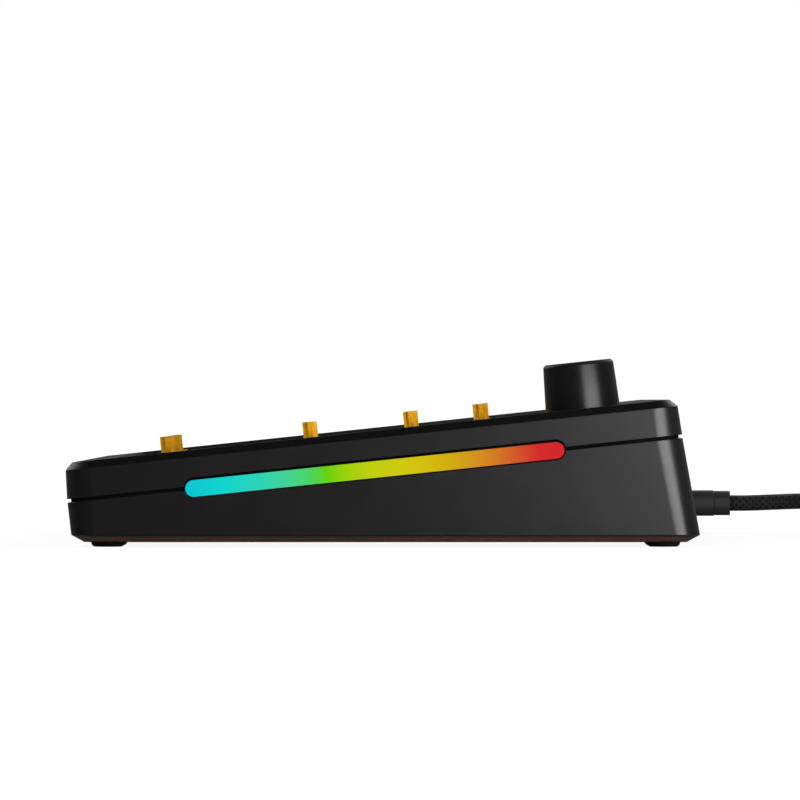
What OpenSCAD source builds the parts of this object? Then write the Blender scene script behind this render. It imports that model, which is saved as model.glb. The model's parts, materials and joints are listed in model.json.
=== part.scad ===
// Barebone keyboard kit: a compact case with switch plate, board, stabilisers, turn knob and data cable.
// Millimetres, +X to the right, +Y to the rear, +Z up, standing on the desk at Z = 0.

/* [Keys] */
// Spacing of neighbouring keys
key_pitch = 19.05; // [18.8:0.05:19.3]
// Side of the square hole that a switch snaps into
seat = 14; // [13.8:0.1:14.4]
// Space between the key field and the opening in the upper case
key_gap = 0.5; // [0.3:0.1:1]

/* [Case] */
// Angle of the typing deck to the desk
deck_angle = 6; // [4:0.5:8]
// Height of the deck's centre above the desk
deck_height = 27; // [26.5:0.5:32]
// Width of the rim from the key field to the case side
rim_w = 12; // [11.5:0.5:15]
// Chamfer along the top edge of the rim
rim_chamfer = 1.7; // [0.5:0.1:2]
// Draft of the upper case's sides
side_draft = 3; // [0:0.5:4]
// Depth of the seam between the case halves below the deck
seam_depth = 8.8; // [8.5:0.1:9.5]
// Open height of the seam groove
seam_gap = 0.8; // [0.4:0.1:1]
// Lean of the lower case's rear wall
rear_lean = 10.2; // [6:0.2:12]
// Lean of the lower case's front wall
front_lean = 6.8; // [4:0.2:8]
// Plan radius of the case corners
corner_r = 6; // [5:0.5:8]
// Thickness of the case walls
case_wall = 3; // [2.5:0.1:3.4]
// Thickness of the top skin
top_skin = 2.5; // [2:0.1:3]
// Thickness of the floor
floor_t = 2.3; // [1.8:0.1:2.6]
// Inset of the chamfer round the floor
floor_run = 3; // [1:0.25:4]
// Height of the chamfer round the floor
floor_rise = 1.65; // [1:0.05:2]
// Height of the tongue that closes the seam
tongue_h = 1.4; // [0.8:0.1:2]
// Thickness of the tongue
tongue_t = 2.1; // [1.5:0.1:2.3]
// Slack between the tongue and its rebate
tongue_slack = 0.15; // [0.1:0.05:0.3]

/* [Plate and board] */
// Depth of the plate's top face below the deck
plate_depth = 6.6; // [6.2:0.1:7]
// Thickness of the switch plate
plate_t = 1.5; // [1.2:0.1:1.6]
// Drop from the plate's top face to the board's top face
board_drop = 5; // [4.9:0.1:5.4]
// Thickness of the main board
board_t = 1.6; // [1.2:0.1:1.8]
// Reach of the plate under the rim
plate_under = 1; // [0.5:0.1:1.2]
// Reach of the board past the key field
board_edge = 0.4; // [0:0.1:0.6]
// Thickness of a gasket strip
gasket_t = 3; // [2:0.1:3.2]
// Length of a gasket strip along the front and rear
gasket_l = 24; // [16:1:30]
// Width of a gasket strip
gasket_w = 5; // [4:0.25:5.5]
// Thickness of the foam mat on the floor
mat_t = 1.6; // [1:0.1:2]

/* [Stabilisers] */
// Height of a raised stem above the deck
stem_top = 3.6; // [3:0.1:4]
// Travel of a stem from raised to pressed
stem_travel = 4; // [3.4:0.1:4]
// Span of the cross post on a stem
post_w = 3.45; // [3.2:0.05:4]
// Thickness of each arm of the cross post
post_t = 1.2; // [1:0.05:1.4]
// Height of the cross post
post_h = 3.9; // [3.4:0.1:4]
// Diameter of the stabiliser wire
wire_d = 1.6; // [1.4:0.1:1.6]
// Lever from the wire's bar to the stem
wire_lever = 8.3; // [8:0.1:9]
// Height of the wire's bar above the board
wire_pivot = 2.4; // [2.2:0.1:2.4]

/* [Knob] */
// Diameter of the knob at its top
knob_top_d = 16.4; // [14:0.2:18]
// Diameter of the knob at its base
knob_base_d = 17.45; // [17:0.05:17.8]
// Height of the knob's top above the deck
knob_top = 10.95; // [10:0.1:12]
// Depth of the round recess that the knob stands in
knob_sink = 1.5; // [1.2:0.1:1.7]
// Gap between the knob and the floor of its recess
knob_gap = 0.95; // [0.8:0.05:1.2]
// Offset of the knob from the line of the top row
knob_offset = -0.25; // [-0.4:0.05:0.4]
// Diameter of the encoder shaft
shaft_d = 6; // [5:0.1:6]
// Travel of the knob when it is pushed
push_travel = 0.5; // [0.3:0.1:0.5]

/* [Light bars] */
// Length of a light bar
bar_l = 88.6; // [80:1:92]
// Height of a light bar's face
bar_h = 4.3; // [3.5:0.1:5]
// Open gap round a light bar
bar_gap = 0.2; // [0.1:0.05:0.3]

/* [Feet] */
// Height of the case floor above the desk
foot_h = 1.2; // [0.8:0.1:1.6]
// Width of a foot
foot_w = 7.8; // [6:0.2:8]
// Length of a foot
foot_l = 36; // [24:1:40]
// Depth of the pocket that holds a foot
foot_pocket = 0.5; // [0.3:0.1:0.8]

/* [Cable] */
// Place of the cable port along the rear wall
port_x = -116; // [-130:1:-112]
// Height of the port's centre above the desk
port_z = 7.8; // [7.8:0.1:9]
// Diameter of the braided cable
cable_d = 4; // [3.6:0.1:4.2]
// Loops in each layer of the coil
coil_turns = 3; // [2:1:4]
// Layers of the coil
coil_layers = 4; // [2:2:4]
// Mean radius of the coil's loops
coil_mean_r = 22.5; // [21:0.5:26]
// Open gap between neighbouring loops
coil_gap = 0.5; // [0.45:0.05:1]

/* [Hidden] */
$fn = 48;
hull_fn = 32;
sliver = 0.02;
past = 1;
reach = 400;
slack = 0.2;

// Key field
row_u = [2.625, 1.375, 0.375, -0.625, -1.625, -2.625];
field_u = [16.25, 6.25];
row_keys = [
    [1, -0.25, 1, 1, 1, 1, -0.25, 1, 1, 1, 1, -0.25, 1, 1, 1, 1, -0.25, 1],
    [1, 1, 1, 1, 1, 1, 1, 1, 1, 1, 1, 1, 1, 2, -0.25, 1],
    [1.5, 1, 1, 1, 1, 1, 1, 1, 1, 1, 1, 1, 1, -1.75, 1],
    [1.75, 1, 1, 1, 1, 1, 1, 1, 1, 1, 1, 1, 1, -1.5, 1],
    [1.25, 1, 1, 1, 1, 1, 1, 1, 1, 1, 1, 1, 1.75, -0.25, 1, 1],
    [1.25, 1.25, 1.25, 6.25, 1, 1, 1, -0.25, 1, 1, 1]
];
function run_before(widths, n) = n == 0 ? 0 : abs(widths[n - 1]) + run_before(widths, n - 1);
// Key units from the field's left edge to the middle of a cell or of a gap
function cell_u(r, n) = run_before(row_keys[r], n) + abs(row_keys[r][n]) / 2;
function key_x(u) = (u - field_u.x / 2) * key_pitch;
function cell_at(cell) = [key_x(cell_u(cell[0], cell[1])), row_u[cell[0]] * key_pitch];
// Row and place in it: the backspace, the gap that the tall enter key fills, the space bar
backspace_cell = [1, 13];
enter_gap = [2, 13];
space_cell = [5, 3];
knob_cell_u = 1;
enter_key = [
    key_x(cell_u(enter_gap[0], enter_gap[1])),
    (row_u[enter_gap[0]] + row_u[enter_gap[0] + 1]) / 2 * key_pitch
];
keys = concat(
    [for (r = [0:len(row_keys) - 1], n = [0:len(row_keys[r]) - 1])
        if (row_keys[r][n] > 0)
            cell_at([r, n])],
    [enter_key]);
knob_cell = [key_x(field_u.x - knob_cell_u / 2), row_u[0] * key_pitch];
knob_at = knob_cell + [0, knob_offset];
half_field = field_u * key_pitch / 2;
half_open = half_field + [key_gap, key_gap];

// Upper case, in the deck's own frame: x, v along the deck, w above it
seam = -seam_depth;
rim_lip = seam + seam_gap / 2;
case_lip = seam - seam_gap / 2;
half_rim = half_field + [rim_w, rim_w];
draft_out = (seam_depth - seam_gap / 2 - rim_chamfer) * tan(side_draft);
half_seam = half_rim + [draft_out, draft_out];
half_top = half_rim - [rim_chamfer, rim_chamfer];
half_inner = half_seam - [case_wall, case_wall];
rebate_t = tongue_t + tongue_slack;
tongue_root = 0.6;
skirt_t = 1.5;
skirt_gap = 1;
channel = (half_open + half_inner + [skirt_t, skirt_t]) / 2;

// Lower case, in the desk's frame
shell_z = foot_h + floor_rise;
floor_z = foot_h + floor_t;
function deck_y(v, w) = v * cos(deck_angle) - w * sin(deck_angle);
function deck_z(v, w) = deck_height + v * sin(deck_angle) + w * cos(deck_angle);
rear_y0 = deck_y(half_seam.y, case_lip) + (deck_z(half_seam.y, case_lip) - shell_z) * tan(rear_lean);
front_y0 = deck_y(-half_seam.y, case_lip) + (deck_z(-half_seam.y, case_lip) - shell_z) * tan(front_lean);
nose_y0 = deck_y(-half_rim.y, -rim_chamfer);
deck_shift = -(rear_y0 + nose_y0) / 2;
rear_y = rear_y0 + deck_shift;
front_y = front_y0 + deck_shift;
function rear_wall(z) = rear_y - (z - shell_z) * tan(rear_lean);

// Case screws and their bosses
screw_at = [for (sv = [-1, 1], x = [-1, -1 / 3, 1 / 3, 1]) [x * channel.x, sv * channel.y]];
screw_d = 3;
screw_l = 10;
screw_head = [5.6, 2.4];
screw_seat = 4;
boss_d = 6.4;
post_d = 8.6;
screw_hex = [2.6, 1.2];
head_room = 0.6;

// Stack below the deck
plate_top = -plate_depth;
plate_low = plate_top - plate_t;
board_top = plate_top - board_drop;
board_low = board_top - board_t;
half_plate = half_open + [plate_under, plate_under];
half_board = half_field + [board_edge, board_edge];
tab_reach = gasket_w + 1;
tab_over = 2;
shelf_t = 2;
shelf_back = 2.7;
shelf_lip = 0.3;
rib_t = 1.6;
foam_gap = 0.05;
foam_room = 0.6;
mat_edge = [4, 12, 5];
standoff_at = [for (p = [[-7.25, 2], [-1.5, 2], [3.25, 2], [-2, -0.125], [3, -0.125],
                         [-7.25, -2.125], [3, -2.125], [7.25, -2.125]]) p * key_pitch];
standoff_d = 4;
rivet_d = 2.5;
rivet_slack = 0.1;
small_screw_d = 2;
small_head = [3.6, 1.2];
cross_size = [2.2, 0.55, 0.6];
thread_slack = 0.1;
plate_screw_bite = 2.4;

// Switch footprint on the board
centre_hole = 4;
side_hole = 1.8;
pin_hole = 3;
pin_step = 1.27;
pin_at = [[-3, 2] * pin_step, [2, 4] * pin_step];
led_size = [3.4, 2.8];
side_hole_x = 4 * pin_step;
led_v = -4 * pin_step;
led_proud = 0.4;
led_sunk = 0.1;
socket_t = 1.85;
socket_w = 4.4;
socket_end = 2.4;
socket_run = 4.8;
socket_jog = 2.2;
chip_size = [7, 7, 1];
chip_u = -2.75;
chip_x = chip_u * key_pitch;

// Stabilisers, each [centre x, centre v, half span, turn], in a frame that stands on the board
short_half = 11.94;
long_half = 50;
stabs = [
    concat(cell_at(backspace_cell), [short_half, 0]),
    concat(enter_key, [short_half, -90]),
    concat(cell_at(space_cell), [long_half, 0])
];
wire_r = wire_d / 2;
wire_play = 0.3;
wire_bend = 1.2;
wire_over = 0.5;
stem_size = [4.6, 5.6];
stem_slack = 0.15;
stem_floor = 0.3;
stem_bridge = 0.8;
stem_peak = stem_top - board_top;
stem_shoulder = stem_peak - post_h;
stem_foot = stem_travel + stem_floor;
tip_h = stem_foot + stem_bridge + wire_play + wire_r;
arm_up = asin((tip_h - wire_pivot) / wire_lever);
arm_down = asin((tip_h - stem_travel - wire_pivot) / wire_lever);
tip_y = wire_lever * (1 - cos(arm_up));
tower_size = [6.8, 8.6];
tower_stop = 0.1;
tower_h = stem_shoulder - stem_travel - tower_stop;
tower_slack = 0.3;
clip_x = [1.4, 3.4];
clip_reach = wire_lever + 1.6;
clip_h = wire_pivot + wire_r + 1;
clip_slack = 0.05;
clip_mouth = 0.8;
base_t = 1;
lug_y = -6.985;
lug_d = 4.4;
lug_h = 3;
leg_y = 8.255;
leg_d = 3.7;
leg_proud = 0.4;
leg_slack = 0.3;
stab_screw_bite = lug_h - 1.4;
slot_room = 0.4;
slot_flare = 0.1;
function arm_h(y) = tip_h - (y - tip_y) * tan(arm_up);

// Encoder and knob
encoder_size = [12, 12.5, 6.5];
encoder_room = 5;
encoder_floor = 1;
bush_d = 7;
bush_top = 1.4;
shaft_slack = 0.04;
shaft_top = 8.4;
shaft_flat = 1.5;
plunger_size = [9, 1.6];
plunger_low = board_top + encoder_floor + push_travel + 4 * slack;
plunger_top = plunger_low + plunger_size.y;
encoder_top = board_top + encoder_size.z;
knob_round = 0.9;
knob_wall = 1.8;
knob_roof = 4;
knob_hub_d = 9.2;
knob_hub_low = bush_top + push_travel + 0.3;
knob_edge = 0.3;
knob_base = knob_gap - knob_sink;
knob_room = 0.4;

// Light bars and the boards behind them
bar_flange = [3, 3, 1.2];
bar_back = half_inner.x - bar_flange.z;
bar_face = half_seam.x - 0.15;
led_gap = 0.4;
led_chip = [2.8, 2.8, 0.8];
led_count = 12;
strip_t = 1.2;
strip_h = 6;
strip_l = bar_l + 6.4;
strip_front = bar_back - led_gap - led_chip.z;
holder_size = [4.6, 3.2];
holder_bite = 1.4;
holder_rise = 2;
holder_end = strip_l / 2 - holder_bite + holder_size.y;
corner_post = channel.y - post_d / 2;
side_gasket_v = (holder_end + corner_post) / 2;
side_gasket_l = corner_post - holder_end - tab_over - 2 * slack;

// Feet
foot_round = 1;
foot_inset = [5, 1.4];
foot_x = channel.x - foot_l / 2 - foot_inset.x;
foot_edge = floor_run + foot_w / 2 + foot_inset.y;
foot_rows = [front_y + foot_edge, rear_y - foot_edge];

// Port, its small board and the link to the main board
port_hole = [13.2, 7.3];
port_hole_r = port_hole.y / 2 - 0.4;
port_wall = rear_wall(port_z);
mouth_y = port_wall - case_wall - 0.4;
port_size = [8.94, 3.26, 7.35];
port_skin = 0.3;
port_tongue = [6.69, 0.7];
port_back = 0.4;
tongue_sunk = 0.8;
usb_board_size = [24, 17.3, 1.6];
usb_board_top = port_z - port_size.y / 2;
usb_board_rear = mouth_y - 0.2;
usb_screw_x = 8.5;
usb_screw_y = mouth_y - 12.3;
usb_post_d = 5;
usb_screw_bite = 1.6;
plug_head = [8, 4, 4.2];
link_size = [6, 0.8];
link_a = [usb_board_rear - usb_board_size.y, usb_board_top + plug_head.z / 2];
link_v = 2 * key_pitch;
link_w = board_low - plug_head.z / 2;
link_b = [deck_shift + deck_y(link_v + plug_head.y / 2, link_w), deck_z(link_v + plug_head.y / 2, link_w)];
link_pull = 7;
link_steps = 16;

// Gaskets: three along the front and rear, the outer ones clear of the port board, and two at each side
gasket_clear = 7;
gasket_pitch = abs(port_x) - usb_board_size.x / 2 - gasket_clear - (gasket_l + tab_over) / 2;
gasket_at = concat(
    [for (sv = [-1, 1], n = [-1:1]) [n * gasket_pitch, sv, 0]],
    [for (sx = [-1, 1], sv = [-1, 1]) [sx, sv, 1]]);

// Cable: plug, free lead, coil, tail and far plug
mold_size = [12.4, 6.5];
mold_r = 2.8;
mold_gap = 0.3;
mold_out = 11.5;
mold_y = mouth_y + mold_gap;
mold_end = port_wall + mold_out;
collar_size = [10.4, 6.2];
collar_l = 4.1;
collar_end = mold_end + collar_l;
plug_shell = [8.25, 2.4, 6.5];
plug_slot = [7.1, 1.2];
tie_t = 0.8;
tie_room = 0.35;
tie_angle = 24;
coil_stand = 53.6;
coil_step = cable_d + coil_gap;
coil_out_r = coil_mean_r + coil_turns * coil_step / 2;
coil_in_r = coil_out_r - coil_turns * coil_step;
coil_low = cable_d / 2 + tie_t + 0.1;
coil_high = coil_low + (coil_layers - 1) * coil_step;
coil_at = [port_x + coil_out_r, collar_end + coil_stand];
loop_rings = 24;
loops = coil_turns * coil_layers;
far_mold = [15.6, 8, 20];
far_shell = [12, 4.5, 12];
far_skin = 0.4;
far_insert = [1.9, 1];
// Route of the lead from the collar to the coil, seen from the collar's rear face
lead_route = [
    [0, 0, 0], [0, 4, 0], [0, 8.6, 0.15], [0, 13.6, 0.35], [0, 18.6, 0.5], [0, 22.6, 0.3],
    [0, 26.6, -0.3], [0, 30.6, -1.3], [0, 34.6, -2.6], [0, 38.6, -3.7], [0, 42.6, -4.5],
    [0, 45.6, -4.85], [0, 49.6, -4.9]
];
// Route of the tail from the coil's top to the far plug, seen from the coil's end
tail_route = [
    [0, 0, 0], [0, 4, 0], [-1.5, 11, -0.6], [-5.5, 16.5, -2], [-11, 20.5, -4], [-18, 22, -6.2],
    [-25, 20.5, -8.4], [-30.5, 16.5, -10.2], [-34.5, 11, -11.5], [-36, 4, -12.2], [-36, 0, -12.4],
    [-36, -4, -12.4]
];
tail_end = tail_route[len(tail_route) - 1];
coil_end = [port_x, coil_at.y + cable_d, coil_high];
far_plug_at = [port_x + tail_end.x, coil_end.y + tail_end.y, far_mold.y / 2];
lead_points = [for (p = lead_route) p + [port_x, collar_end, port_z]];
tail_points = [for (p = tail_route) p + coil_end];

function coil_r(t) =
    let (layer = min(floor(t / coil_turns), coil_layers - 1), part = t - layer * coil_turns)
    layer % 2 == 0 ? coil_out_r - part * coil_step : coil_in_r + part * coil_step;
function climb(t, n) = max(0, min(1, (t - n * coil_turns + 0.25) / 0.5));
function climbs(t, n) = n == 0 ? 0 : climb(t, n) + climbs(t, n - 1);
function coil_point(t) = [
    coil_at.x - coil_r(t) * cos(360 * t),
    coil_at.y + coil_r(t) * sin(360 * t),
    coil_low + coil_step * climbs(t, coil_layers - 1)
];
coil_points = concat(
    [[port_x, coil_at.y - cable_d, coil_low]],
    [for (i = [0:loops * loop_rings]) coil_point(i / loop_rings)],
    [coil_end]);
coil_self_gap = min([for (i = [0:len(coil_points) - 1], j = [i + loop_rings / 2:1:len(coil_points) - 1])
    norm(coil_points[i] - coil_points[j])]) - cable_d;
echo(coil_self_gap = coil_self_gap);

module deck() {
    translate([0, deck_shift, deck_height]) rotate([deck_angle, 0, 0]) children();
}

module both_sides() {
    for (side = [0, 1]) mirror([side, 0, 0]) children();
}

// Rounded rectangle given by its half sizes
module round_rect(half, r) {
    square([2 * half.x, 2 * (half.y - r)], center = true);
    square([2 * (half.x - r), 2 * half.y], center = true);
    for (sx = [-1, 1], sy = [-1, 1]) translate([sx * (half.x - r), sy * (half.y - r)]) circle(r);
}

module pill(l, t) {
    square([l - t, t], center = true);
    for (s = [-1, 1]) translate([s * (l - t) / 2, 0]) circle(d = t);
}

// Four thin corner discs of a rounded outline, to be hulled with those of another level
module corner_discs(low, high, r, z) {
    for (x = [low.x + r, high.x - r], y = [low.y + r, high.y - r])
        translate([x, y, z]) cylinder(r = r, h = sliver, $fn = hull_fn);
}

// Profile in the v, w plane, extruded along x
module along_x(x, l) {
    translate([x, 0, 0]) rotate([90, 0, 90]) linear_extrude(l) children();
}

// Profile in the x, z plane, extruded towards the rear
module to_rear(y, l) {
    translate([0, y, 0]) rotate([-90, 0, 0]) linear_extrude(l) children();
}

module key_opening(grow) {
    difference() {
        square(2 * (half_open + [grow, grow]), center = true);
        translate(knob_cell - [key_pitch / 2 + key_gap - grow, key_pitch / 2 + key_gap - grow])
            square(2 * key_pitch);
    }
}

module bar_slot(extra) {
    along_x(-reach, 2 * reach) translate([0, seam]) pill(bar_l + 2 * extra, bar_h + 2 * extra);
}

module gasket_strip(l) {
    square([l, gasket_w], center = true);
}

// Children laid along each gasket place, the first for the long sides and the second for the short sides
module at_gaskets() {
    for (g = gasket_at)
        if (g.z == 0)
            translate([g.x, g.y * (half_plate.y + tab_reach / 2)]) children(0);
        else
            translate([g.x * (half_plate.x + tab_reach / 2), g.y * side_gasket_v]) rotate(90) children(1);
}

module upper_shell() {
    hull() {
        corner_discs(-half_top, half_top, corner_r - rim_chamfer, -sliver);
        corner_discs(-half_rim, half_rim, corner_r, -rim_chamfer);
        corner_discs(-half_seam, half_seam, corner_r + draft_out, rim_lip);
    }
}

module top_case() {
    color("#1b1b1d") deck() difference() {
        union() {
            difference() {
                upper_shell();
                translate([0, 0, seam - past]) linear_extrude(seam_depth + past - top_skin)
                    round_rect(half_inner, corner_r - case_wall + draft_out);
            }
            translate([0, 0, plate_top + skirt_gap])
                linear_extrude(plate_depth - skirt_gap - top_skin / 2) key_opening(skirt_t);
            for (p = screw_at)
                translate([p.x, p.y, seam]) cylinder(d = boss_d, h = seam_depth - top_skin / 2);
            translate([0, 0, plate_top + gasket_t])
                linear_extrude(plate_depth - gasket_t - top_skin / 2) at_gaskets() {
                    gasket_strip(gasket_l + tab_over);
                    gasket_strip(side_gasket_l + tab_over);
                }
        }
        translate([0, 0, seam]) linear_extrude(seam_depth + past) key_opening(0);
        translate([knob_at.x, knob_at.y, seam]) cylinder(d = bush_d + 2 * slack, h = seam_depth + past);
        translate([knob_at.x, knob_at.y, -knob_sink])
            cylinder(d = knob_base_d + 2 * knob_room, h = knob_sink + past, $fn = 96);
        for (p = screw_at)
            translate([p.x, p.y, seam - past]) cylinder(d = screw_d, h = screw_l - screw_seat + past + slack);
        translate([0, 0, rim_lip - past])
            linear_extrude(tongue_h - seam_gap / 2 + tongue_slack + past) difference() {
                round_rect(half_inner + [rebate_t, rebate_t], corner_r - case_wall + rebate_t);
                round_rect(half_inner - [sliver, sliver], corner_r - case_wall);
            }
        bar_slot(bar_gap);
    }
}

module lower_shell() {
    hull() {
        deck() corner_discs(-half_seam, half_seam, corner_r + draft_out, case_lip - sliver);
        corner_discs([-half_seam.x, front_y], [half_seam.x, rear_y], corner_r, shell_z);
        corner_discs([-half_seam.x + floor_run, front_y + floor_run],
            [half_seam.x - floor_run, rear_y - floor_run], corner_r - floor_run / 2, foot_h);
    }
}

module lower_cavity() {
    hull() {
        deck() for (w = [case_lip - sliver, case_lip + past])
            corner_discs(-half_inner, half_inner, corner_r - case_wall + draft_out, w);
        corner_discs([-half_inner.x, front_y + case_wall], [half_inner.x, rear_y - case_wall],
            corner_r - case_wall, floor_z);
    }
}

// Shelf under a lower gasket, on two ribs that stand on the floor
module gasket_shelf(l, shelf_w) {
    translate([-l / 2, -gasket_w / 2 - shelf_lip, shelf_w - shelf_t])
        cube([l, gasket_w + shelf_lip + shelf_back, shelf_t]);
    for (s = [-1, 1])
        translate([s * (l - rib_t) / 2 - rib_t / 2, -gasket_w / 2, shelf_w - reach])
            cube([rib_t, gasket_w + shelf_back, reach - shelf_t / 2]);
}

module case_inside() {
    shelf_w = plate_low - gasket_t;
    deck() {
        for (p = screw_at)
            translate([p.x, p.y, seam - reach]) cylinder(d = post_d, h = reach);
        for (g = gasket_at)
            if (g.z == 0)
                translate([g.x, g.y * (half_plate.y + tab_reach / 2), 0]) rotate(90 - 90 * g.y)
                    gasket_shelf(gasket_l + tab_over, shelf_w);
            else
                translate([g.x * (half_plate.x + tab_reach / 2), g.y * side_gasket_v, 0]) rotate(-90 * g.x)
                    gasket_shelf(side_gasket_l + tab_over, shelf_w);
        both_sides() for (s = [-1, 1])
            translate([strip_front - strip_t / 2 - holder_size.x / 2,
                s * (strip_l / 2 - holder_bite + holder_size.y / 2) - holder_size.y / 2, seam - reach])
                cube([holder_size.x, holder_size.y, reach + holder_rise]);
    }
    for (s = [-1, 1])
        translate([port_x + s * usb_screw_x, usb_screw_y, 0])
            cylinder(d = usb_post_d, h = usb_board_top - usb_board_size.z);
}

module bottom_case() {
    color("#242426") difference() {
        union() {
            difference() {
                lower_shell();
                lower_cavity();
            }
            intersection() {
                case_inside();
                translate([-reach, -reach, foot_h + floor_t / 2]) cube([2 * reach, 2 * reach, reach]);
            }
            deck() translate([0, 0, case_lip - tongue_root])
                linear_extrude(tongue_h + seam_gap / 2 + tongue_root) difference() {
                    round_rect(half_inner + [tongue_t, tongue_t], corner_r - case_wall + tongue_t);
                    round_rect(half_inner, corner_r - case_wall);
                }
        }
        deck() {
            for (p = screw_at) translate([p.x, p.y, seam - screw_seat]) {
                translate([0, 0, -reach]) cylinder(d = screw_head.x + head_room, h = reach);
                translate([0, 0, -past]) cylinder(d = screw_d + 2 * slack, h = screw_seat + 2 * past);
            }
            bar_slot(bar_gap);
            both_sides()
                translate([strip_front - strip_t - slack / 2, -(strip_l + slack) / 2, seam - strip_h / 2])
                    cube([strip_t + slack, strip_l + slack, strip_h + past]);
        }
        for (sx = [-1, 1], y = foot_rows)
            translate([sx * foot_x, y, foot_h - past]) linear_extrude(foot_pocket + past)
                pill(foot_l + slack, foot_w + slack);
        translate([port_x, 0, port_z]) to_rear(mouth_y, 3 * case_wall) round_rect(port_hole / 2, port_hole_r);
        for (s = [-1, 1])
            translate([port_x + s * usb_screw_x, usb_screw_y, floor_z - past])
                cylinder(d = small_screw_d, h = reach);
    }
}

module pan_screw(d, l, head) {
    translate([0, 0, -head.y]) cylinder(d = head.x, h = head.y);
    cylinder(d = d, h = l);
}

// Small screw with a cross recess in its head
module small_screw(l) {
    difference() {
        pan_screw(small_screw_d - thread_slack, l, small_head);
        for (turn = [0, 90])
            rotate(turn) translate([0, 0, -small_head.y])
                cube([cross_size.x, cross_size.y, 2 * cross_size.z], center = true);
    }
}

module case_screws() {
    color("#3a3a3c") deck() for (p = screw_at)
        translate([p.x, p.y, seam - screw_seat]) difference() {
            pan_screw(screw_d - thread_slack, screw_l, screw_head);
            translate([0, 0, -screw_head.y - past])
                cylinder(d = screw_hex.x, h = screw_hex.y + past, $fn = 6);
        }
}

module rubber_feet() {
    half = foot_w / 2;
    tall = foot_h + foot_pocket;
    color("#111111") for (sx = [-1, 1], y = foot_rows) translate([sx * foot_x, y, 0]) {
        for (s = [-1, 1])
            translate([s * (foot_l - foot_w) / 2, 0, 0]) rotate_extrude() foot_profile(half, tall);
        translate([-(foot_l - foot_w) / 2, 0, 0]) rotate([90, 0, 90]) linear_extrude(foot_l - foot_w) {
            foot_profile(half, tall);
            mirror([1, 0]) foot_profile(half, tall);
        }
    }
}

// Half section of a foot, with its lower edge rounded
module foot_profile(half, tall) {
    square([half - foot_round, tall]);
    translate([0, foot_round]) square([half, tall - foot_round]);
    intersection() {
        translate([half - foot_round, foot_round]) circle(foot_round);
        square([half, tall]);
    }
}

module floor_mat() {
    mat_rear = usb_board_rear - usb_board_size.y - mat_edge.z;
    mat_front = front_y + case_wall + mat_edge.y;
    half = half_field.x - mat_edge.x;
    color("#4a4a4a") translate([-half, mat_front, floor_z]) cube([2 * half, mat_rear - mat_front, mat_t]);
}

module light_bar() {
    deck() {
        along_x(bar_back, bar_flange.z) translate([0, seam])
            pill(bar_l + bar_flange.x, bar_h + bar_flange.y);
        along_x(bar_back, bar_face - bar_back) translate([0, seam]) pill(bar_l, bar_h);
    }
}

module right_light_bar() {
    color("#3fb8a8") light_bar();
}

module left_light_bar() {
    color("#3fb8a8") mirror([1, 0, 0]) light_bar();
}

module light_strip() {
    pitch = bar_l / led_count;
    deck() {
        translate([strip_front - strip_t, -strip_l / 2, seam - strip_h / 2])
            cube([strip_t, strip_l, strip_h]);
        for (n = [0:led_count - 1])
            translate([strip_front - sliver, (n + 0.5) * pitch - bar_l / 2, seam])
                translate([0, -led_chip.x / 2, -led_chip.y / 2])
                    cube([led_chip.z + sliver, led_chip.x, led_chip.y]);
    }
}

module right_light_strip() {
    color("#2d5a3c") light_strip();
}

module left_light_strip() {
    color("#2d5a3c") mirror([1, 0, 0]) light_strip();
}

// Frame that stands on the board at a stabiliser, with its bar towards +y
module at_stab(s) {
    deck() translate([s.x, s.y, board_top]) rotate(s[3]) children();
}

// The same place on a flat sheet in the deck's frame
module at_stab_flat(s) {
    translate([s.x, s.y]) rotate(s[3]) children();
}

module stab_cutouts() {
    for (s = stabs) at_stab_flat(s) for (e = [-1, 1])
        translate([e * s.z - tower_size.x / 2 - tower_slack, -tower_size.y / 2 - tower_slack])
            square([tower_size.x + 2 * tower_slack, tower_size.y / 2 + clip_reach + 2 * tower_slack]);
}

module switch_plate() {
    color("#2b2b2e") deck() translate([0, 0, plate_low]) linear_extrude(plate_t) difference() {
        union() {
            square(2 * half_plate, center = true);
            at_gaskets() {
                square([gasket_l + tab_over, tab_reach + sliver], center = true);
                square([side_gasket_l + tab_over, tab_reach + sliver], center = true);
            }
        }
        for (k = keys) translate(k) square(seat, center = true);
        translate(knob_at) square(seat, center = true);
        stab_cutouts();
        for (p = standoff_at) translate(p) circle(d = small_screw_d + slack);
    }
}

module plate_foam() {
    color("#6d6d70") deck() translate([0, 0, board_top + foam_gap])
        linear_extrude(plate_low - board_top - 2 * foam_gap) difference() {
            square(2 * half_board, center = true);
            for (k = keys) translate(k) square(seat + 2 * foam_room, center = true);
            translate(knob_at) square(seat + 2 * foam_room, center = true);
            for (p = standoff_at) translate(p) circle(d = standoff_d + foam_room);
            for (s = stabs) at_stab_flat(s) {
                for (e = [-1, 1])
                    translate([e * s.z - tower_size.x / 2 - foam_room, lug_y - lug_d / 2 - foam_room])
                        square([tower_size.x, clip_reach - lug_y + lug_d / 2] + 2 * [foam_room, foam_room]);
                translate([-s.z, wire_lever - wire_d - foam_room])
                    square([2 * s.z, 2 * (wire_d + foam_room)]);
            }
        }
}

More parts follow.
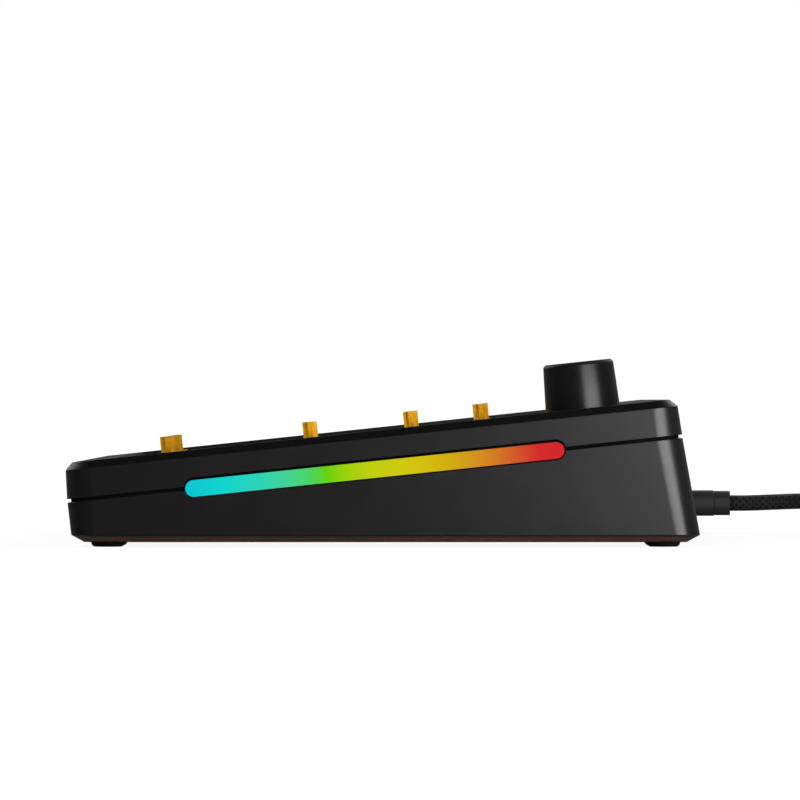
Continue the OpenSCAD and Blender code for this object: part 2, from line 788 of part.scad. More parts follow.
module main_board() {
    color("#17301f") deck() translate([0, 0, board_low]) linear_extrude(board_t) difference() {
        square(2 * half_board, center = true);
        for (k = keys) translate(k) {
            circle(d = centre_hole);
            for (s = [-1, 1]) translate([s * side_hole_x, 0]) circle(d = side_hole);
            for (p = pin_at) translate(p) circle(d = pin_hole);
            translate([0, led_v]) square(led_size, center = true);
        }
        for (s = stabs) at_stab_flat(s) for (e = [-1, 1]) translate([e * s.z, 0]) {
            translate([0, lug_y]) circle(d = small_screw_d + slack);
            translate([0, leg_y]) circle(d = leg_d + leg_slack);
        }
        for (p = standoff_at) translate(p) circle(d = rivet_d + rivet_slack);
    }
}

// Outline of one hot-swap socket, seen from above
module socket_outline() {
    low = pin_at[0].y - socket_w / 2;
    high = pin_at[1].y + socket_w / 2;
    left = pin_at[0].x - socket_end;
    right = pin_at[1].x + socket_end;
    polygon([[left, low], [left + socket_run, low], [left + socket_run + socket_jog / 2, high - socket_w],
        [right, high - socket_w], [right, high], [right - socket_run - socket_jog, high],
        [right - socket_run - 1.5 * socket_jog, low + socket_w], [left, low + socket_w]]);
}

module hot_swap_sockets() {
    color("#1a1a1a") deck() translate([0, 0, board_low - socket_t]) linear_extrude(socket_t)
        for (k = keys) translate(k) difference() {
            socket_outline();
            for (p = pin_at) translate(p) circle(d = pin_hole / 2);
        }
}

module key_leds() {
    color("#e8e2c8") deck() translate([0, 0, board_low - led_proud])
        linear_extrude(board_t + led_proud - led_sunk) for (k = keys)
            translate(k) translate([0, led_v]) square(led_size - [slack, slack], center = true);
}

module controller_chip() {
    color("#202020") deck() translate([chip_x, link_v, board_low - chip_size.z])
        translate([-chip_size.x / 2, -chip_size.y / 2, 0]) cube(chip_size);
}

module plate_standoffs() {
    color("#b08d3c") deck() for (p = standoff_at) translate([p.x, p.y, board_top]) difference() {
        union() {
            translate([0, 0, rivet_slack - board_t]) cylinder(d = rivet_d, h = board_t);
            cylinder(d = standoff_d, h = plate_low - board_top);
        }
        translate([0, 0, rivet_slack]) cylinder(d = small_screw_d, h = board_drop);
    }
}

module plate_screws() {
    color("#55565a") deck() for (p = standoff_at) translate([p.x, p.y, plate_top]) mirror([0, 0, 1])
        small_screw(plate_t + plate_screw_bite);
}

module upper_gaskets() {
    color("#3c3c3c") deck() translate([0, 0, plate_top]) linear_extrude(gasket_t) at_gaskets() {
        gasket_strip(gasket_l);
        gasket_strip(side_gasket_l);
    }
}

module lower_gaskets() {
    color("#3c3c3c") deck() translate([0, 0, plate_low - gasket_t]) linear_extrude(gasket_t) at_gaskets() {
        gasket_strip(gasket_l);
        gasket_strip(side_gasket_l);
    }
}

module at_knob() {
    deck() translate([knob_at.x, knob_at.y, 0]) children();
}

module encoder_body() {
    color("#9a9a98") at_knob() difference() {
        translate([-encoder_size.x / 2, -encoder_size.y / 2, board_top]) cube(encoder_size);
        translate([0, 0, board_top + encoder_floor])
            cylinder(r = encoder_room, h = encoder_size.z - 2 * encoder_floor);
        translate([0, 0, board_top + encoder_floor]) cylinder(d = shaft_d + 2 * slack, h = encoder_size.z);
    }
}

module encoder_bush() {
    color("#a9a392") at_knob() translate([0, 0, encoder_top]) difference() {
        cylinder(d = bush_d, h = bush_top - encoder_top);
        translate([0, 0, -1]) cylinder(d = shaft_d + 2 * shaft_slack, h = bush_top - encoder_top + 2);
    }
}

module encoder_plunger() {
    color("#8a3a2a") at_knob() translate([0, 0, plunger_low])
        cylinder(d = plunger_size.x, h = plunger_size.y);
}

module encoder_shaft() {
    color("#b9b9b6") at_knob() difference() {
        translate([0, 0, plunger_top]) cylinder(d = shaft_d, h = shaft_top - plunger_top);
        translate([-shaft_d / 2, shaft_d / 2 - shaft_flat, knob_hub_low])
            cube([shaft_d, shaft_flat, reach]);
    }
}

module knob() {
    lean = (knob_base_d - knob_top_d) / 2;
    color("#1e1e20") at_knob() difference() {
        rotate_extrude($fn = 96) difference() {
            union() {
                polygon([[0, knob_base], [knob_base_d / 2 - knob_edge, knob_base],
                    [knob_base_d / 2, knob_base + knob_edge],
                    [knob_top_d / 2, knob_top - knob_round], [knob_top_d / 2 - knob_round, knob_top],
                    [0, knob_top]]);
                intersection() {
                    translate([knob_top_d / 2 - knob_round, knob_top - knob_round]) circle(knob_round);
                    square([knob_top_d, knob_top]);
                }
            }
            translate([knob_hub_d / 2, knob_base - past])
                square([knob_base_d / 2 - knob_wall - lean - knob_hub_d / 2, knob_roof + past]);
            translate([0, knob_base - past])
                square([knob_hub_d / 2 + sliver, knob_hub_low - knob_base + past]);
        }
        difference() {
            cylinder(d = shaft_d + 2 * shaft_slack, h = shaft_top + slack);
            translate([-shaft_d / 2 - past, shaft_d / 2 - shaft_flat + shaft_slack, knob_hub_low - past])
                cube([shaft_d + 2 * past, shaft_flat + past, reach]);
        }
    }
}

// Guide tower of one stabiliser, its wire clip towards +x, standing on the board
module stab_housing() {
    inner = stem_size + [2 * stem_slack, 2 * stem_slack];
    window_top = arm_h(inner.y / 2) + (wire_r + wire_play) / cos(arm_up);
    difference() {
        union() {
            translate([-tower_size.x / 2, lug_y, 0])
                cube([tower_size.x, clip_reach - lug_y, base_t]);
            translate([0, lug_y, 0]) cylinder(d = lug_d, h = lug_h);
            translate([-tower_size.x / 2, -tower_size.y / 2, 0])
                cube([tower_size.x, tower_size.y, tower_h]);
            translate([clip_x[0], tower_size.y / 2 - sliver, 0])
                cube([clip_x[1] - clip_x[0], clip_reach - tower_size.y / 2 + sliver, clip_h]);
            translate([0, leg_y, -board_t - leg_proud])
                cylinder(d = leg_d, h = board_t + leg_proud + base_t / 2);
        }
        translate([-inner.x / 2, -inner.y / 2, -past]) cube([inner.x, inner.y, tower_h + 2 * past]);
        translate([-wire_r - wire_play, 0, base_t])
            cube([wire_d + 2 * wire_play, tower_size.y / 2 + sliver, window_top - base_t]);
        translate([0, wire_lever, wire_pivot]) rotate([0, 90, 0])
            cylinder(r = wire_r + clip_slack, h = clip_x[1] + past);
        translate([clip_x[0] - past, wire_lever, wire_pivot - wire_r * clip_mouth])
            cube([clip_x[1] + past, clip_reach, wire_d * clip_mouth]);
        translate([0, lug_y, -past]) cylinder(d = small_screw_d, h = lug_h);
    }
}

module stab_housings(s) {
    color("#161616") at_stab(s) {
        translate([-s.z, 0, 0]) stab_housing();
        translate([s.z, 0, 0]) mirror([1, 0, 0]) stab_housing();
    }
}

module backspace_housings() {
    stab_housings(stabs[0]);
}

module enter_housings() {
    stab_housings(stabs[1]);
}

module space_housings() {
    stab_housings(stabs[2]);
}

module stabiliser_screws() {
    color("#6a6a6c") for (s = stabs) at_stab(s) for (e = [-1, 1])
        translate([e * s.z, lug_y, -board_t]) small_screw(board_t + stab_screw_bite);
}

// Slider with a cross post on top and a slot at its foot for the wire's end
module stab_stem() {
    face = stem_size.y / 2 + slot_flare;
    room = wire_r + wire_play;
    difference() {
        union() {
            translate([-stem_size.x / 2, -stem_size.y / 2, stem_foot])
                cube([stem_size.x, stem_size.y, stem_shoulder - stem_foot]);
            translate([0, 0, stem_shoulder - sliver]) linear_extrude(post_h + sliver) {
                square([post_w, post_t], center = true);
                square([post_t, post_w], center = true);
            }
        }
        along_x(-room, 2 * room) polygon([
            [-wire_over - slot_room, tip_h - room],
            [tip_y, tip_h - room],
            [face, min(arm_h(face) - room / cos(arm_up), tip_h - room)],
            [face, tip_h - face * tan(arm_down) + room],
            [-wire_over - slot_room, tip_h + room]]);
    }
}

module stem_of(s, end) {
    color("#c58a1c") at_stab(s) translate([end * s.z, 0, 0]) stab_stem();
}

module backspace_left_stem() {
    stem_of(stabs[0], -1);
}

module backspace_right_stem() {
    stem_of(stabs[0], 1);
}

module enter_rear_stem() {
    stem_of(stabs[1], -1);
}

module enter_front_stem() {
    stem_of(stabs[1], 1);
}

module space_left_stem() {
    stem_of(stabs[2], -1);
}

module space_right_stem() {
    stem_of(stabs[2], 1);
}

// Bent wire that turns on its bar and lifts both stems together
module stab_wire(s) {
    color("#c9c9c6") at_stab(s) translate([0, wire_lever, wire_pivot]) rotate([-arm_up, 0, 0]) {
        translate([-s.z + wire_bend, 0, 0]) rotate([0, 90, 0])
            cylinder(r = wire_r, h = 2 * (s.z - wire_bend));
        both_sides() {
            translate([s.z - wire_bend, -wire_bend, 0]) rotate_extrude(angle = 90)
                translate([wire_bend, 0]) circle(wire_r);
            translate([s.z, -wire_bend, 0]) rotate([90, 0, 0])
                cylinder(r = wire_r, h = wire_lever + wire_over - wire_bend);
        }
    }
}

module backspace_wire() {
    stab_wire(stabs[0]);
}

module enter_wire() {
    stab_wire(stabs[1]);
}

module space_wire() {
    stab_wire(stabs[2]);
}

module usb_board() {
    color("#17301f") translate([port_x, usb_board_rear, usb_board_top - usb_board_size.z]) difference() {
        translate([-usb_board_size.x / 2, -usb_board_size.y, 0]) cube(usb_board_size);
        for (s = [-1, 1]) translate([s * usb_screw_x, usb_screw_y - usb_board_rear, -past])
            cylinder(d = small_screw_d + slack, h = usb_board_size.z + 2 * past);
    }
}

module usb_socket() {
    inner = [port_size.x - 2 * port_skin, port_size.y - 2 * port_skin];
    color("#bfc0c2") translate([port_x, 0, port_z]) {
        to_rear(mouth_y - port_size.z, port_size.z) difference() {
            pill(port_size.x, port_size.y);
            pill(inner.x, inner.y);
        }
        to_rear(mouth_y - port_size.z, port_back) pill(port_size.x, port_size.y);
        to_rear(mouth_y - port_size.z, port_size.z - tongue_sunk) square(port_tongue, center = true);
    }
}

module usb_board_screws() {
    color("#55565a") for (s = [-1, 1]) translate([port_x + s * usb_screw_x, usb_screw_y, usb_board_top])
        mirror([0, 0, 1]) small_screw(usb_board_size.z + usb_screw_bite);
}

module usb_board_header() {
    color("#e6e2d6") translate([port_x - plug_head.x / 2, link_a[0], usb_board_top]) cube(plug_head);
}

module main_board_header() {
    color("#e6e2d6") deck() translate([port_x, link_v, board_low - plug_head.z])
        translate([-plug_head.x / 2, -plug_head.y / 2, 0]) cube(plug_head);
}

// Flat ribbon that joins the two headers in one soft bend
function bend_point(t) =
    let (p = link_a + [-link_pull, 0], q = link_b + link_pull * [cos(deck_angle), sin(deck_angle)])
    pow(1 - t, 3) * link_a + 3 * t * pow(1 - t, 2) * p + 3 * t * t * (1 - t) * q + pow(t, 3) * link_b;
function bend_side(t) =
    let (d = bend_point(min(1, t + 0.01)) - bend_point(max(0, t - 0.01))) [-d.y, d.x] / norm(d);

module link_ribbon() {
    steps = [for (n = [0:link_steps]) n / link_steps];
    edge = link_size.y / 2;
    color("#d8d8d8") along_x(port_x - link_size.x / 2, link_size.x) polygon(concat(
        [for (t = steps) bend_point(t) + edge * bend_side(t)],
        [for (n = [link_steps:-1:0]) bend_point(steps[n]) - edge * bend_side(steps[n])]));
}

module plug_shell() {
    color("#c4c6c8") translate([port_x, 0, port_z])
        to_rear(mold_y - plug_shell.z, plug_shell.z) difference() {
            pill(plug_shell.x, plug_shell.y);
            pill(plug_slot.x, plug_slot.y);
        }
}

module plug_grip() {
    color("#101010") translate([port_x, 0, port_z])
        to_rear(mold_y, mold_end - mold_y) round_rect(mold_size / 2, mold_r);
}

module plug_collar() {
    color("#141414") translate([port_x, 0, port_z])
        to_rear(mold_end, collar_l) round_rect(collar_size / 2, mold_r);
}

// Tube swept along a row of points, its end faces square to the end runs
function direction(p, i) =
    let (d = p[min(i + 1, len(p) - 1)] - p[max(i - 1, 0)]) d / norm(d);
function ring(p, i, r, sides) =
    let (t = direction(p, i), side = cross(t, [0, 0, 1]) / norm(cross(t, [0, 0, 1])), up = cross(side, t))
    [for (n = [0:sides - 1]) p[i] + r * (cos(360 * n / sides) * side + sin(360 * n / sides) * up)];

module tube(p, r, sides) {
    last = (len(p) - 1) * sides;
    polyhedron(
        points = [for (i = [0:len(p) - 1]) each ring(p, i, r, sides)],
        faces = concat(
            [for (n = [1:sides - 2]) [0, n, n + 1]],
            [for (i = [0:len(p) - 2], n = [0:sides - 1])
                let (a = i * sides + n, b = i * sides + (n + 1) % sides)
                each [[a, a + sides, b], [b, a + sides, b + sides]]],
            [for (n = [1:sides - 2]) [last, last + n + 1, last + n]]));
}

module cable_lead() {
    color("#121212") tube(lead_points, cable_d / 2, 8);
}

module cable_coil() {
    color("#121212") tube(coil_points, cable_d / 2, 6);
}

module cable_tail() {
    color("#121212") tube(tail_points, cable_d / 2, 8);
}

// Strap round the bundle on the far side of the coil
module coil_tie() {
    low = [coil_in_r + coil_step / 2 - cable_d / 2 - tie_room, tie_t];
    high = [coil_out_r - coil_step / 2 + cable_d / 2 + tie_room, coil_high + cable_d / 2 + tie_room];
    color("#1c1c1c") translate([coil_at.x, coil_at.y, 0]) rotate(-tie_angle / 2)
        rotate_extrude(angle = tie_angle) difference() {
            translate(low - [tie_t, tie_t]) square(high - low + 2 * [tie_t, tie_t]);
            translate(low) square(high - low);
        }
}

module far_plug_grip() {
    color("#101010") translate([far_plug_at.x, 0, far_plug_at.z])
        to_rear(far_plug_at.y - far_mold.z, far_mold.z) round_rect([far_mold.x, far_mold.y] / 2, mold_r);
}

module far_plug_shell() {
    tip = far_plug_at.y - far_mold.z - far_shell.z;
    color("#c4c6c8") translate([far_plug_at.x, 0, far_plug_at.z]) {
        to_rear(tip, far_shell.z) difference() {
            square([far_shell.x, far_shell.y], center = true);
            square([far_shell.x - 2 * far_skin, far_shell.y - 2 * far_skin], center = true);
        }
        translate([0, 0, (far_insert.x - far_shell.y) / 2 + far_skin])
            to_rear(tip + far_insert.y, far_shell.z - far_insert.y)
                square([far_shell.x - 2 * far_skin, far_insert.x], center = true);
    }
}

top_case();
bottom_case();
case_screws();
rubber_feet();
floor_mat();
right_light_bar();
left_light_bar();
right_light_strip();
left_light_strip();
switch_plate();
plate_foam();
main_board();
hot_swap_sockets();
key_leds();
controller_chip();
plate_standoffs();
plate_screws();
upper_gaskets();
lower_gaskets();
encoder_body();
encoder_bush();
encoder_plunger();
encoder_shaft();
knob();
backspace_housings();
enter_housings();
space_housings();
stabiliser_screws();
backspace_left_stem();
backspace_right_stem();
backspace_wire();
enter_rear_stem();
enter_front_stem();
enter_wire();
space_left_stem();
space_right_stem();
space_wire();
usb_board();
usb_socket();
usb_board_screws();
usb_board_header();
main_board_header();
link_ribbon();
plug_shell();
plug_grip();
plug_collar();
cable_lead();
cable_coil();
cable_tail();
coil_tie();
far_plug_grip();
far_plug_shell();
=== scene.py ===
# Looks of the barebone keyboard kit, in metres: +X to the right, +Y to the rear, +Z up.
import json
import math
import bpy
import bmesh
from mathutils import Matrix, Vector


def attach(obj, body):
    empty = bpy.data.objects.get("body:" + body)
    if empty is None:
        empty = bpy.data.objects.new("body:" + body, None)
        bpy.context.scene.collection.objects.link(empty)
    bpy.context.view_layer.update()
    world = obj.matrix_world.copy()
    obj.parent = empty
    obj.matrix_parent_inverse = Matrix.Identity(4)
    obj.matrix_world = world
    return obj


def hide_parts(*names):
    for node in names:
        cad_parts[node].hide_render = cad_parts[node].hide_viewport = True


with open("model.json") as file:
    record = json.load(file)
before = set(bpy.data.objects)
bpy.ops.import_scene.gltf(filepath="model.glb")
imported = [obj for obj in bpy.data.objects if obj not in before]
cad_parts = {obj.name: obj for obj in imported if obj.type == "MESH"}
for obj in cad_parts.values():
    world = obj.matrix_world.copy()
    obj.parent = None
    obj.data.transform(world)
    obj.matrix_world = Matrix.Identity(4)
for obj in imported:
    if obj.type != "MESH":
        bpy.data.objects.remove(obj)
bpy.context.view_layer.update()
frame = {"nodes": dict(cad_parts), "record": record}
nodes = frame["nodes"]
record = frame["record"]
scene = bpy.context.scene
scene.view_settings.view_transform = "Standard"
mm = 0.001
slotOf = {part["node"]: part["material_slot"] for part in record["subparts"]}
bodyOf = {node: body for body, names in record["behaviour"]["bodies"].items() for node in names}
print("frame loaded:", len(nodes), "nodes")

# the deck's own frame: x, v along the deck, w above it
deckSettings = {
    "angle": 6, "shift": -2.76975, "height": 27, "pitch": 19.05, "unitsWide": 16.25,
    "boardTop": -11.6, "boardLow": -13.2,
    "enterCell": (14.375, -0.125), "knobCell": (15.75, 2.625), "knobForward": 0.25,
}
deckTurn = math.radians(deckSettings["angle"])
deckPlace = Matrix.Translation((0, deckSettings["shift"] * mm, deckSettings["height"] * mm))
deckMatrix = deckPlace @ Matrix.Rotation(deckTurn, 4, "X")
deckSin = math.sin(deckTurn)
deckCos = math.cos(deckTurn)


def cellPlace(units, row):
    # a cell's middle on the deck, from key units across and rows away from the middle row
    return (units - deckSettings["unitsWide"] / 2) * deckSettings["pitch"], row * deckSettings["pitch"]


# key widths from the left for each row, a minus for a gap
rowSettings = {
    2.625: [1, -0.25, 1, 1, 1, 1, -0.25, 1, 1, 1, 1, -0.25, 1, 1, 1, 1, -0.25, 1],
    1.375: [1] * 13 + [2, -0.25, 1],
    0.375: [1.5] + [1] * 12 + [-1.75, 1],
    -0.625: [1.75] + [1] * 12 + [-1.5, 1],
    -1.625: [1.25] + [1] * 11 + [1.75, -0.25, 1, 1],
    -2.625: [1.25, 1.25, 1.25, 6.25, 1, 1, 1, -0.25, 1, 1, 1],
}
keyPlaces = [cellPlace(*deckSettings["enterCell"])]
for rowUnits, widths in rowSettings.items():
    gone = 0
    for width in widths:
        if width > 0:
            keyPlaces.append(cellPlace(gone + width / 2, rowUnits))
        gone += abs(width)
knobX, knobV = cellPlace(*deckSettings["knobCell"])
knobMatrix = Matrix.Translation((knobX * mm, (knobV - deckSettings["knobForward"]) * mm, 0))

# camera at the photograph's place, level and square to the right side
cameraSettings = {"lens": 524, "sensor": 36, "place": (2.867, 0.0040, 0.0342)}
camera = bpy.data.objects.new("sideCamera", bpy.data.cameras.new("sideCamera"))
camera.data.lens = cameraSettings["lens"]
camera.data.sensor_width = cameraSettings["sensor"]
camera.location = cameraSettings["place"]
camera.rotation_euler = (math.pi / 2, 0, math.pi / 2)
scene.collection.objects.link(camera)
scene.camera = camera


def linear(code):
    parts = [int(code[i:i + 2], 16) / 255 for i in (1, 3, 5)]
    return tuple(p / 12.92 if p <= 0.04045 else ((p + 0.055) / 1.055) ** 2.4 for p in parts) + (1,)


class Value:
    # a socket that does maths with + - * /
    def __init__(self, tree, socket):
        self.tree = tree
        self.socket = socket

    def calc(self, operation, a, b=None):
        step = self.tree.nodes.new("ShaderNodeMath")
        step.operation = operation
        for place, part in enumerate((a, b)):
            if isinstance(part, Value):
                self.tree.links.new(part.socket, step.inputs[place])
            elif part is not None:
                step.inputs[place].default_value = part
        return Value(self.tree, step.outputs[0])

    def __add__(self, other):
        return self.calc("ADD", self, other)

    def __radd__(self, other):
        return self.calc("ADD", other, self)

    def __sub__(self, other):
        return self.calc("SUBTRACT", self, other)

    def __rsub__(self, other):
        return self.calc("SUBTRACT", other, self)

    def __mul__(self, other):
        return self.calc("MULTIPLY", self, other)

    def __rmul__(self, other):
        return self.calc("MULTIPLY", other, self)

    def __truediv__(self, other):
        return self.calc("DIVIDE", self, other)

    def clip(self):
        return self.calc("MINIMUM", self.calc("MAXIMUM", self, 0.0), 1.0)

    def sine(self):
        return self.calc("SINE", self)

    def size(self):
        return self.calc("ABSOLUTE", self)

    def largest(self, other):
        return self.calc("MAXIMUM", self, other)

    def over(self, edge, soft):
        return ((self - edge) / soft + 0.5).clip()


class Finish:
    # one material: fixed sockets first, then what varies over the surface
    def __init__(self, name, fixed):
        self.material = bpy.data.materials.new(name)
        self.material.use_nodes = True
        self.tree = self.material.node_tree
        self.shader = self.tree.nodes["Principled BSDF"]
        for socket, value in fixed.items():
            self.shader.inputs[socket].default_value = value

    def node(self, kind, settings=None, inputs=None, out=0):
        made = self.tree.nodes.new(kind)
        for key, value in (settings or {}).items():
            if key == "stops":
                ramp = made.color_ramp
                while len(ramp.elements) > 1:
                    ramp.elements.remove(ramp.elements[-1])
                ramp.elements[0].position = value[0][0]
                ramp.elements[0].color = value[0][1]
                for place, colour in value[1:]:
                    ramp.elements.new(place).color = colour
            else:
                setattr(made, key, value)
        for key, value in (inputs or {}).items():
            if isinstance(value, Value):
                self.tree.links.new(value.socket, made.inputs[key])
            else:
                made.inputs[key].default_value = value
        return Value(self.tree, made.outputs[out])

    def place(self):
        return self.node("ShaderNodeTexCoord", out="Object")

    def axes(self, place):
        return [self.node("ShaderNodeSeparateXYZ", inputs={0: place}, out=i) for i in range(3)]

    def noise(self, scale, detail=2.0, place=None):
        return self.node("ShaderNodeTexNoise", inputs={"Vector": place or self.place(), "Scale": scale,
                                                       "Detail": detail})

    def length(self, x, y):
        flat = self.node("ShaderNodeCombineXYZ", inputs={0: x, 1: y})
        return self.node("ShaderNodeVectorMath", {"operation": "LENGTH"}, {0: flat}, out=1)

    def ramp(self, factor, stops):
        return self.node("ShaderNodeValToRGB", {"stops": stops}, {0: factor})

    def onDeck(self, place):
        return self.node("ShaderNodeMapping", inputs={"Vector": place, "Rotation": (-deckTurn, 0, 0)})

    def mix(self, factor, a, b):
        return self.node("ShaderNodeMix", {"data_type": "RGBA"}, {0: factor, 6: a, 7: b}, out=2)

    def bump(self, height, distance):
        return self.node("ShaderNodeBump", inputs={"Height": height, "Distance": distance})

    def give(self, **links):
        names = {"colour": "Base Color", "rough": "Roughness", "normal": "Normal", "glow": "Emission Color"}
        for key, value in links.items():
            self.tree.links.new(value.socket, self.shader.inputs[names[key]])
        return self.material


def tones(dark, light, like=None, **more):
    # settings with a dark and a light tone, the rest like another finish's
    return {**(like or {}), "dark": linear(dark), "light": linear(light), **more}


mouldNoise = {"cloudScale": 90, "grainSpread": 0.16, "cloudSpread": 0.08}


def mouldedFinish(name, settings, cast=None):
    # moulded or coated surface: faint cloudy colour, fine grain in the height and the gloss, with a painted
    # reflection laid over the colour where one is given
    finish = Finish(name, {"Specular IOR Level": settings["gloss"]})
    cloud = finish.noise(mouldNoise["cloudScale"], 3)
    grain = finish.noise(settings["grainScale"], 3)
    colour = finish.mix(cloud, settings["dark"], settings["light"])
    if cast:
        colour = cast(finish, settings, colour)
    rough = settings["rough"] + (grain - 0.5) * mouldNoise["grainSpread"]
    rough = rough + (cloud - 0.5) * mouldNoise["cloudSpread"]
    return finish.give(colour=colour, rough=rough, normal=finish.bump(grain, settings["grainDepth"]))


# the reflection keys paint a brown reflection of the ground on the lower shell's floor chamfer (painted
# reflection)
shellSettings = tones(
    "#0b0b0c", "#0f0f10", rough=0.33, gloss=0.22, grainScale=3600, grainDepth=0.00001,
    warmDark=linear("#4c2f26"), warmLight=linear("#6a4336"), warmScale=30, warmLow=1.42, warmLowSoft=0.1,
    warmTop=2.3, warmTopSoft=0.8, warmEnd=70, warmEndSoft=5)


def warmCast(finish, settings, plain):
    # painted reflection: reddish brown on the chamfer round the case's floor, standing in for a reflection of
    # a brownish ground, fading out towards the front and the rear
    along, up = finish.axes(finish.place())[1:]
    height = up / mm
    low = height.over(settings["warmLow"], settings["warmLowSoft"])
    high = height.over(settings["warmTop"], settings["warmTopSoft"])
    ends = (along.size() / mm).over(settings["warmEnd"], settings["warmEndSoft"])
    warm = finish.mix(finish.noise(settings["warmScale"], 1), settings["warmDark"], settings["warmLight"])
    return finish.mix(low * (1 - high) * (1 - ends), plain, warm)


barSettings = {
    "half": 44.2, "litR": 1.93, "litLevel": -8.96, "litSoft": 0.06, "face": 166.82, "faceSoft": 0.04,
    "body": (0.0005, 0.0005, 0.0005, 1), "rough": 0.5, "gloss": 0.04,
    "hazeScale": 260, "hazeShare": 0.03, "rippleScale": 1500, "rippleDepth": 0.00001,
    "stops": [(0.0, "#00c4d4"), (0.1, "#08d5d0"), (0.2, "#2ad4b5"), (0.28, "#44d48e"), (0.33, "#4cd45c"),
              (0.37, "#60d400"), (0.42, "#9ad200"), (0.5, "#c2d000"), (0.6, "#d4c600"), (0.7, "#d2ab00"),
              (0.8, "#d5821c"), (0.88, "#d25022"), (0.93, "#d32624"), (1.0, "#d21e26")],
}


def lightBarFinish(name, settings):
    # milky diffuser lit from behind inside a dark border, its colour running along the deck
    finish = Finish(name, {"Base Color": settings["body"], "Roughness": settings["rough"],
                           "Specular IOR Level": settings["gloss"], "Emission Strength": 1.0})
    across, along, up = finish.axes(finish.place())
    shift, height = deckSettings["shift"], deckSettings["height"]
    run = along * (deckCos / mm) + up * (deckSin / mm) - (shift * deckCos + height * deckSin)
    rise = up * (deckCos / mm) - along * (deckSin / mm) - (height * deckCos - shift * deckSin)
    share = ((run / settings["half"]) * 0.5 + 0.5).clip()
    past = (run.size() - (settings["half"] - settings["litR"])).largest(0.0)
    reach = finish.length(past, rise - settings["litLevel"])
    lit = 1 - reach.over(settings["litR"], settings["litSoft"])
    rainbow = finish.ramp(share, [(at, linear(code)) for at, code in settings["stops"]])
    front = (across.size() / mm).over(settings["face"], settings["faceSoft"])
    haze = finish.noise(settings["hazeScale"])
    glow = finish.mix(front * lit * (1 - haze * settings["hazeShare"]), (0.0, 0.0, 0.0, 1), rainbow)
    ripple = finish.noise(settings["rippleScale"])
    return finish.give(glow=glow, normal=finish.bump(ripple, settings["rippleDepth"]))


metalNoise = {"cloudScale": 240, "streakSpread": 0.18, "cloudSpread": 0.1}


def metalFinish(name, settings):
    # drawn or turned metal: fine streaks across one axis
    finish = Finish(name, {"Metallic": 1.0})
    place = finish.node("ShaderNodeMapping", inputs={"Vector": finish.place(), "Scale": settings["stretch"]})
    streak = finish.noise(settings["scale"], 3, place)
    cloud = finish.noise(metalNoise["cloudScale"])
    colour = finish.mix(streak, settings["dark"], settings["light"])
    rough = settings["rough"] + (streak - 0.5) * metalNoise["streakSpread"]
    rough = rough + (cloud - 0.5) * metalNoise["cloudSpread"]
    return finish.give(colour=colour, rough=rough, normal=finish.bump(streak, settings["depth"]))


knobSettings = tones(
    "#080809", "#0c0c0d", topWide=16.4, baseWide=17.45, top=10.95, base=-0.55, round=0.9, roundSteps=6,
    wall=1.8, roof=3.45, hubWide=9.2, hubLow=2.2, boreWide=6.08, boreTop=8.6, dish=0.22, dishEdge=0.5,
    lipRound=0.2, lipSteps=3, foot=0.3, steps=120, merge=0.001, smooth=32, gloss=0.16, rough=0.3,
    roughSpread=0.12, topRough=0.35, topBand=0.6, topSoft=0.3, ringRough=0.05, ringPitch=0.28, ringShare=0.5,
    grainScale=3200, grainDepth=0.000012)


def knobFinish(name, settings):
    # turned and satin-coated: fine rings round the knob's axis on its top, which is more matt
    finish = Finish(name, {"Specular IOR Level": settings["gloss"]})
    axis = (deckMatrix @ knobMatrix).to_translation()
    centred = finish.node("ShaderNodeVectorMath", {"operation": "SUBTRACT"},
                          {0: finish.place(), 1: tuple(axis)})
    x, v, w = finish.axes(finish.onDeck(centred))
    rings = (finish.length(x, v) * (2 * math.pi / (settings["ringPitch"] * mm))).sine()
    grain = finish.noise(settings["grainScale"], 3)
    onTop = (w / mm).over(settings["top"] - settings["topBand"], settings["topSoft"])
    height = rings * onTop * settings["ringShare"] + grain * (1 - onTop)
    rough = settings["rough"] + (grain - 0.5) * settings["roughSpread"]
    rough = rough + (rings * settings["ringRough"] + settings["topRough"]) * onTop
    colour = finish.mix(grain, settings["dark"], settings["light"])
    return finish.give(colour=colour, rough=rough, normal=finish.bump(height, settings["grainDepth"]))


stemSettings = tones("#cc8c0e", "#dca01a", gloss=0.12, flowScale=700, grainScale=2600, rough=0.4,
                     roughSpread=0.16, grainDepth=0.000005)


def stemFinish(name, settings):
    # amber moulding, a little darker in streaks where the resin flowed
    finish = Finish(name, {"Specular IOR Level": settings["gloss"]})
    flow = finish.noise(settings["flowScale"])
    grain = finish.noise(settings["grainScale"])
    colour = finish.mix(flow, settings["dark"], settings["light"])
    rough = settings["rough"] + (grain - 0.5) * settings["roughSpread"]
    return finish.give(colour=colour, rough=rough, normal=finish.bump(grain, settings["grainDepth"]))


boardSettings = {
    "bricks": {"offset": 0.37, "squash": 0.6, "squash_frequency": 3}, "smooth": 0.2, "long": 1.3, "row": 0.17,
    "patchSoft": 0.02, "viaWide": 0.12, "viaSoft": 0.03, "viaShare": 0.7, "rippleScale": 900, "gloss": 0.5,
    "rough": 0.36, "roughSpread": 0.12, "depth": 0.00003, "runHigh": 0.8, "viaHigh": 0.3, "rippleHigh": 0.1,
}


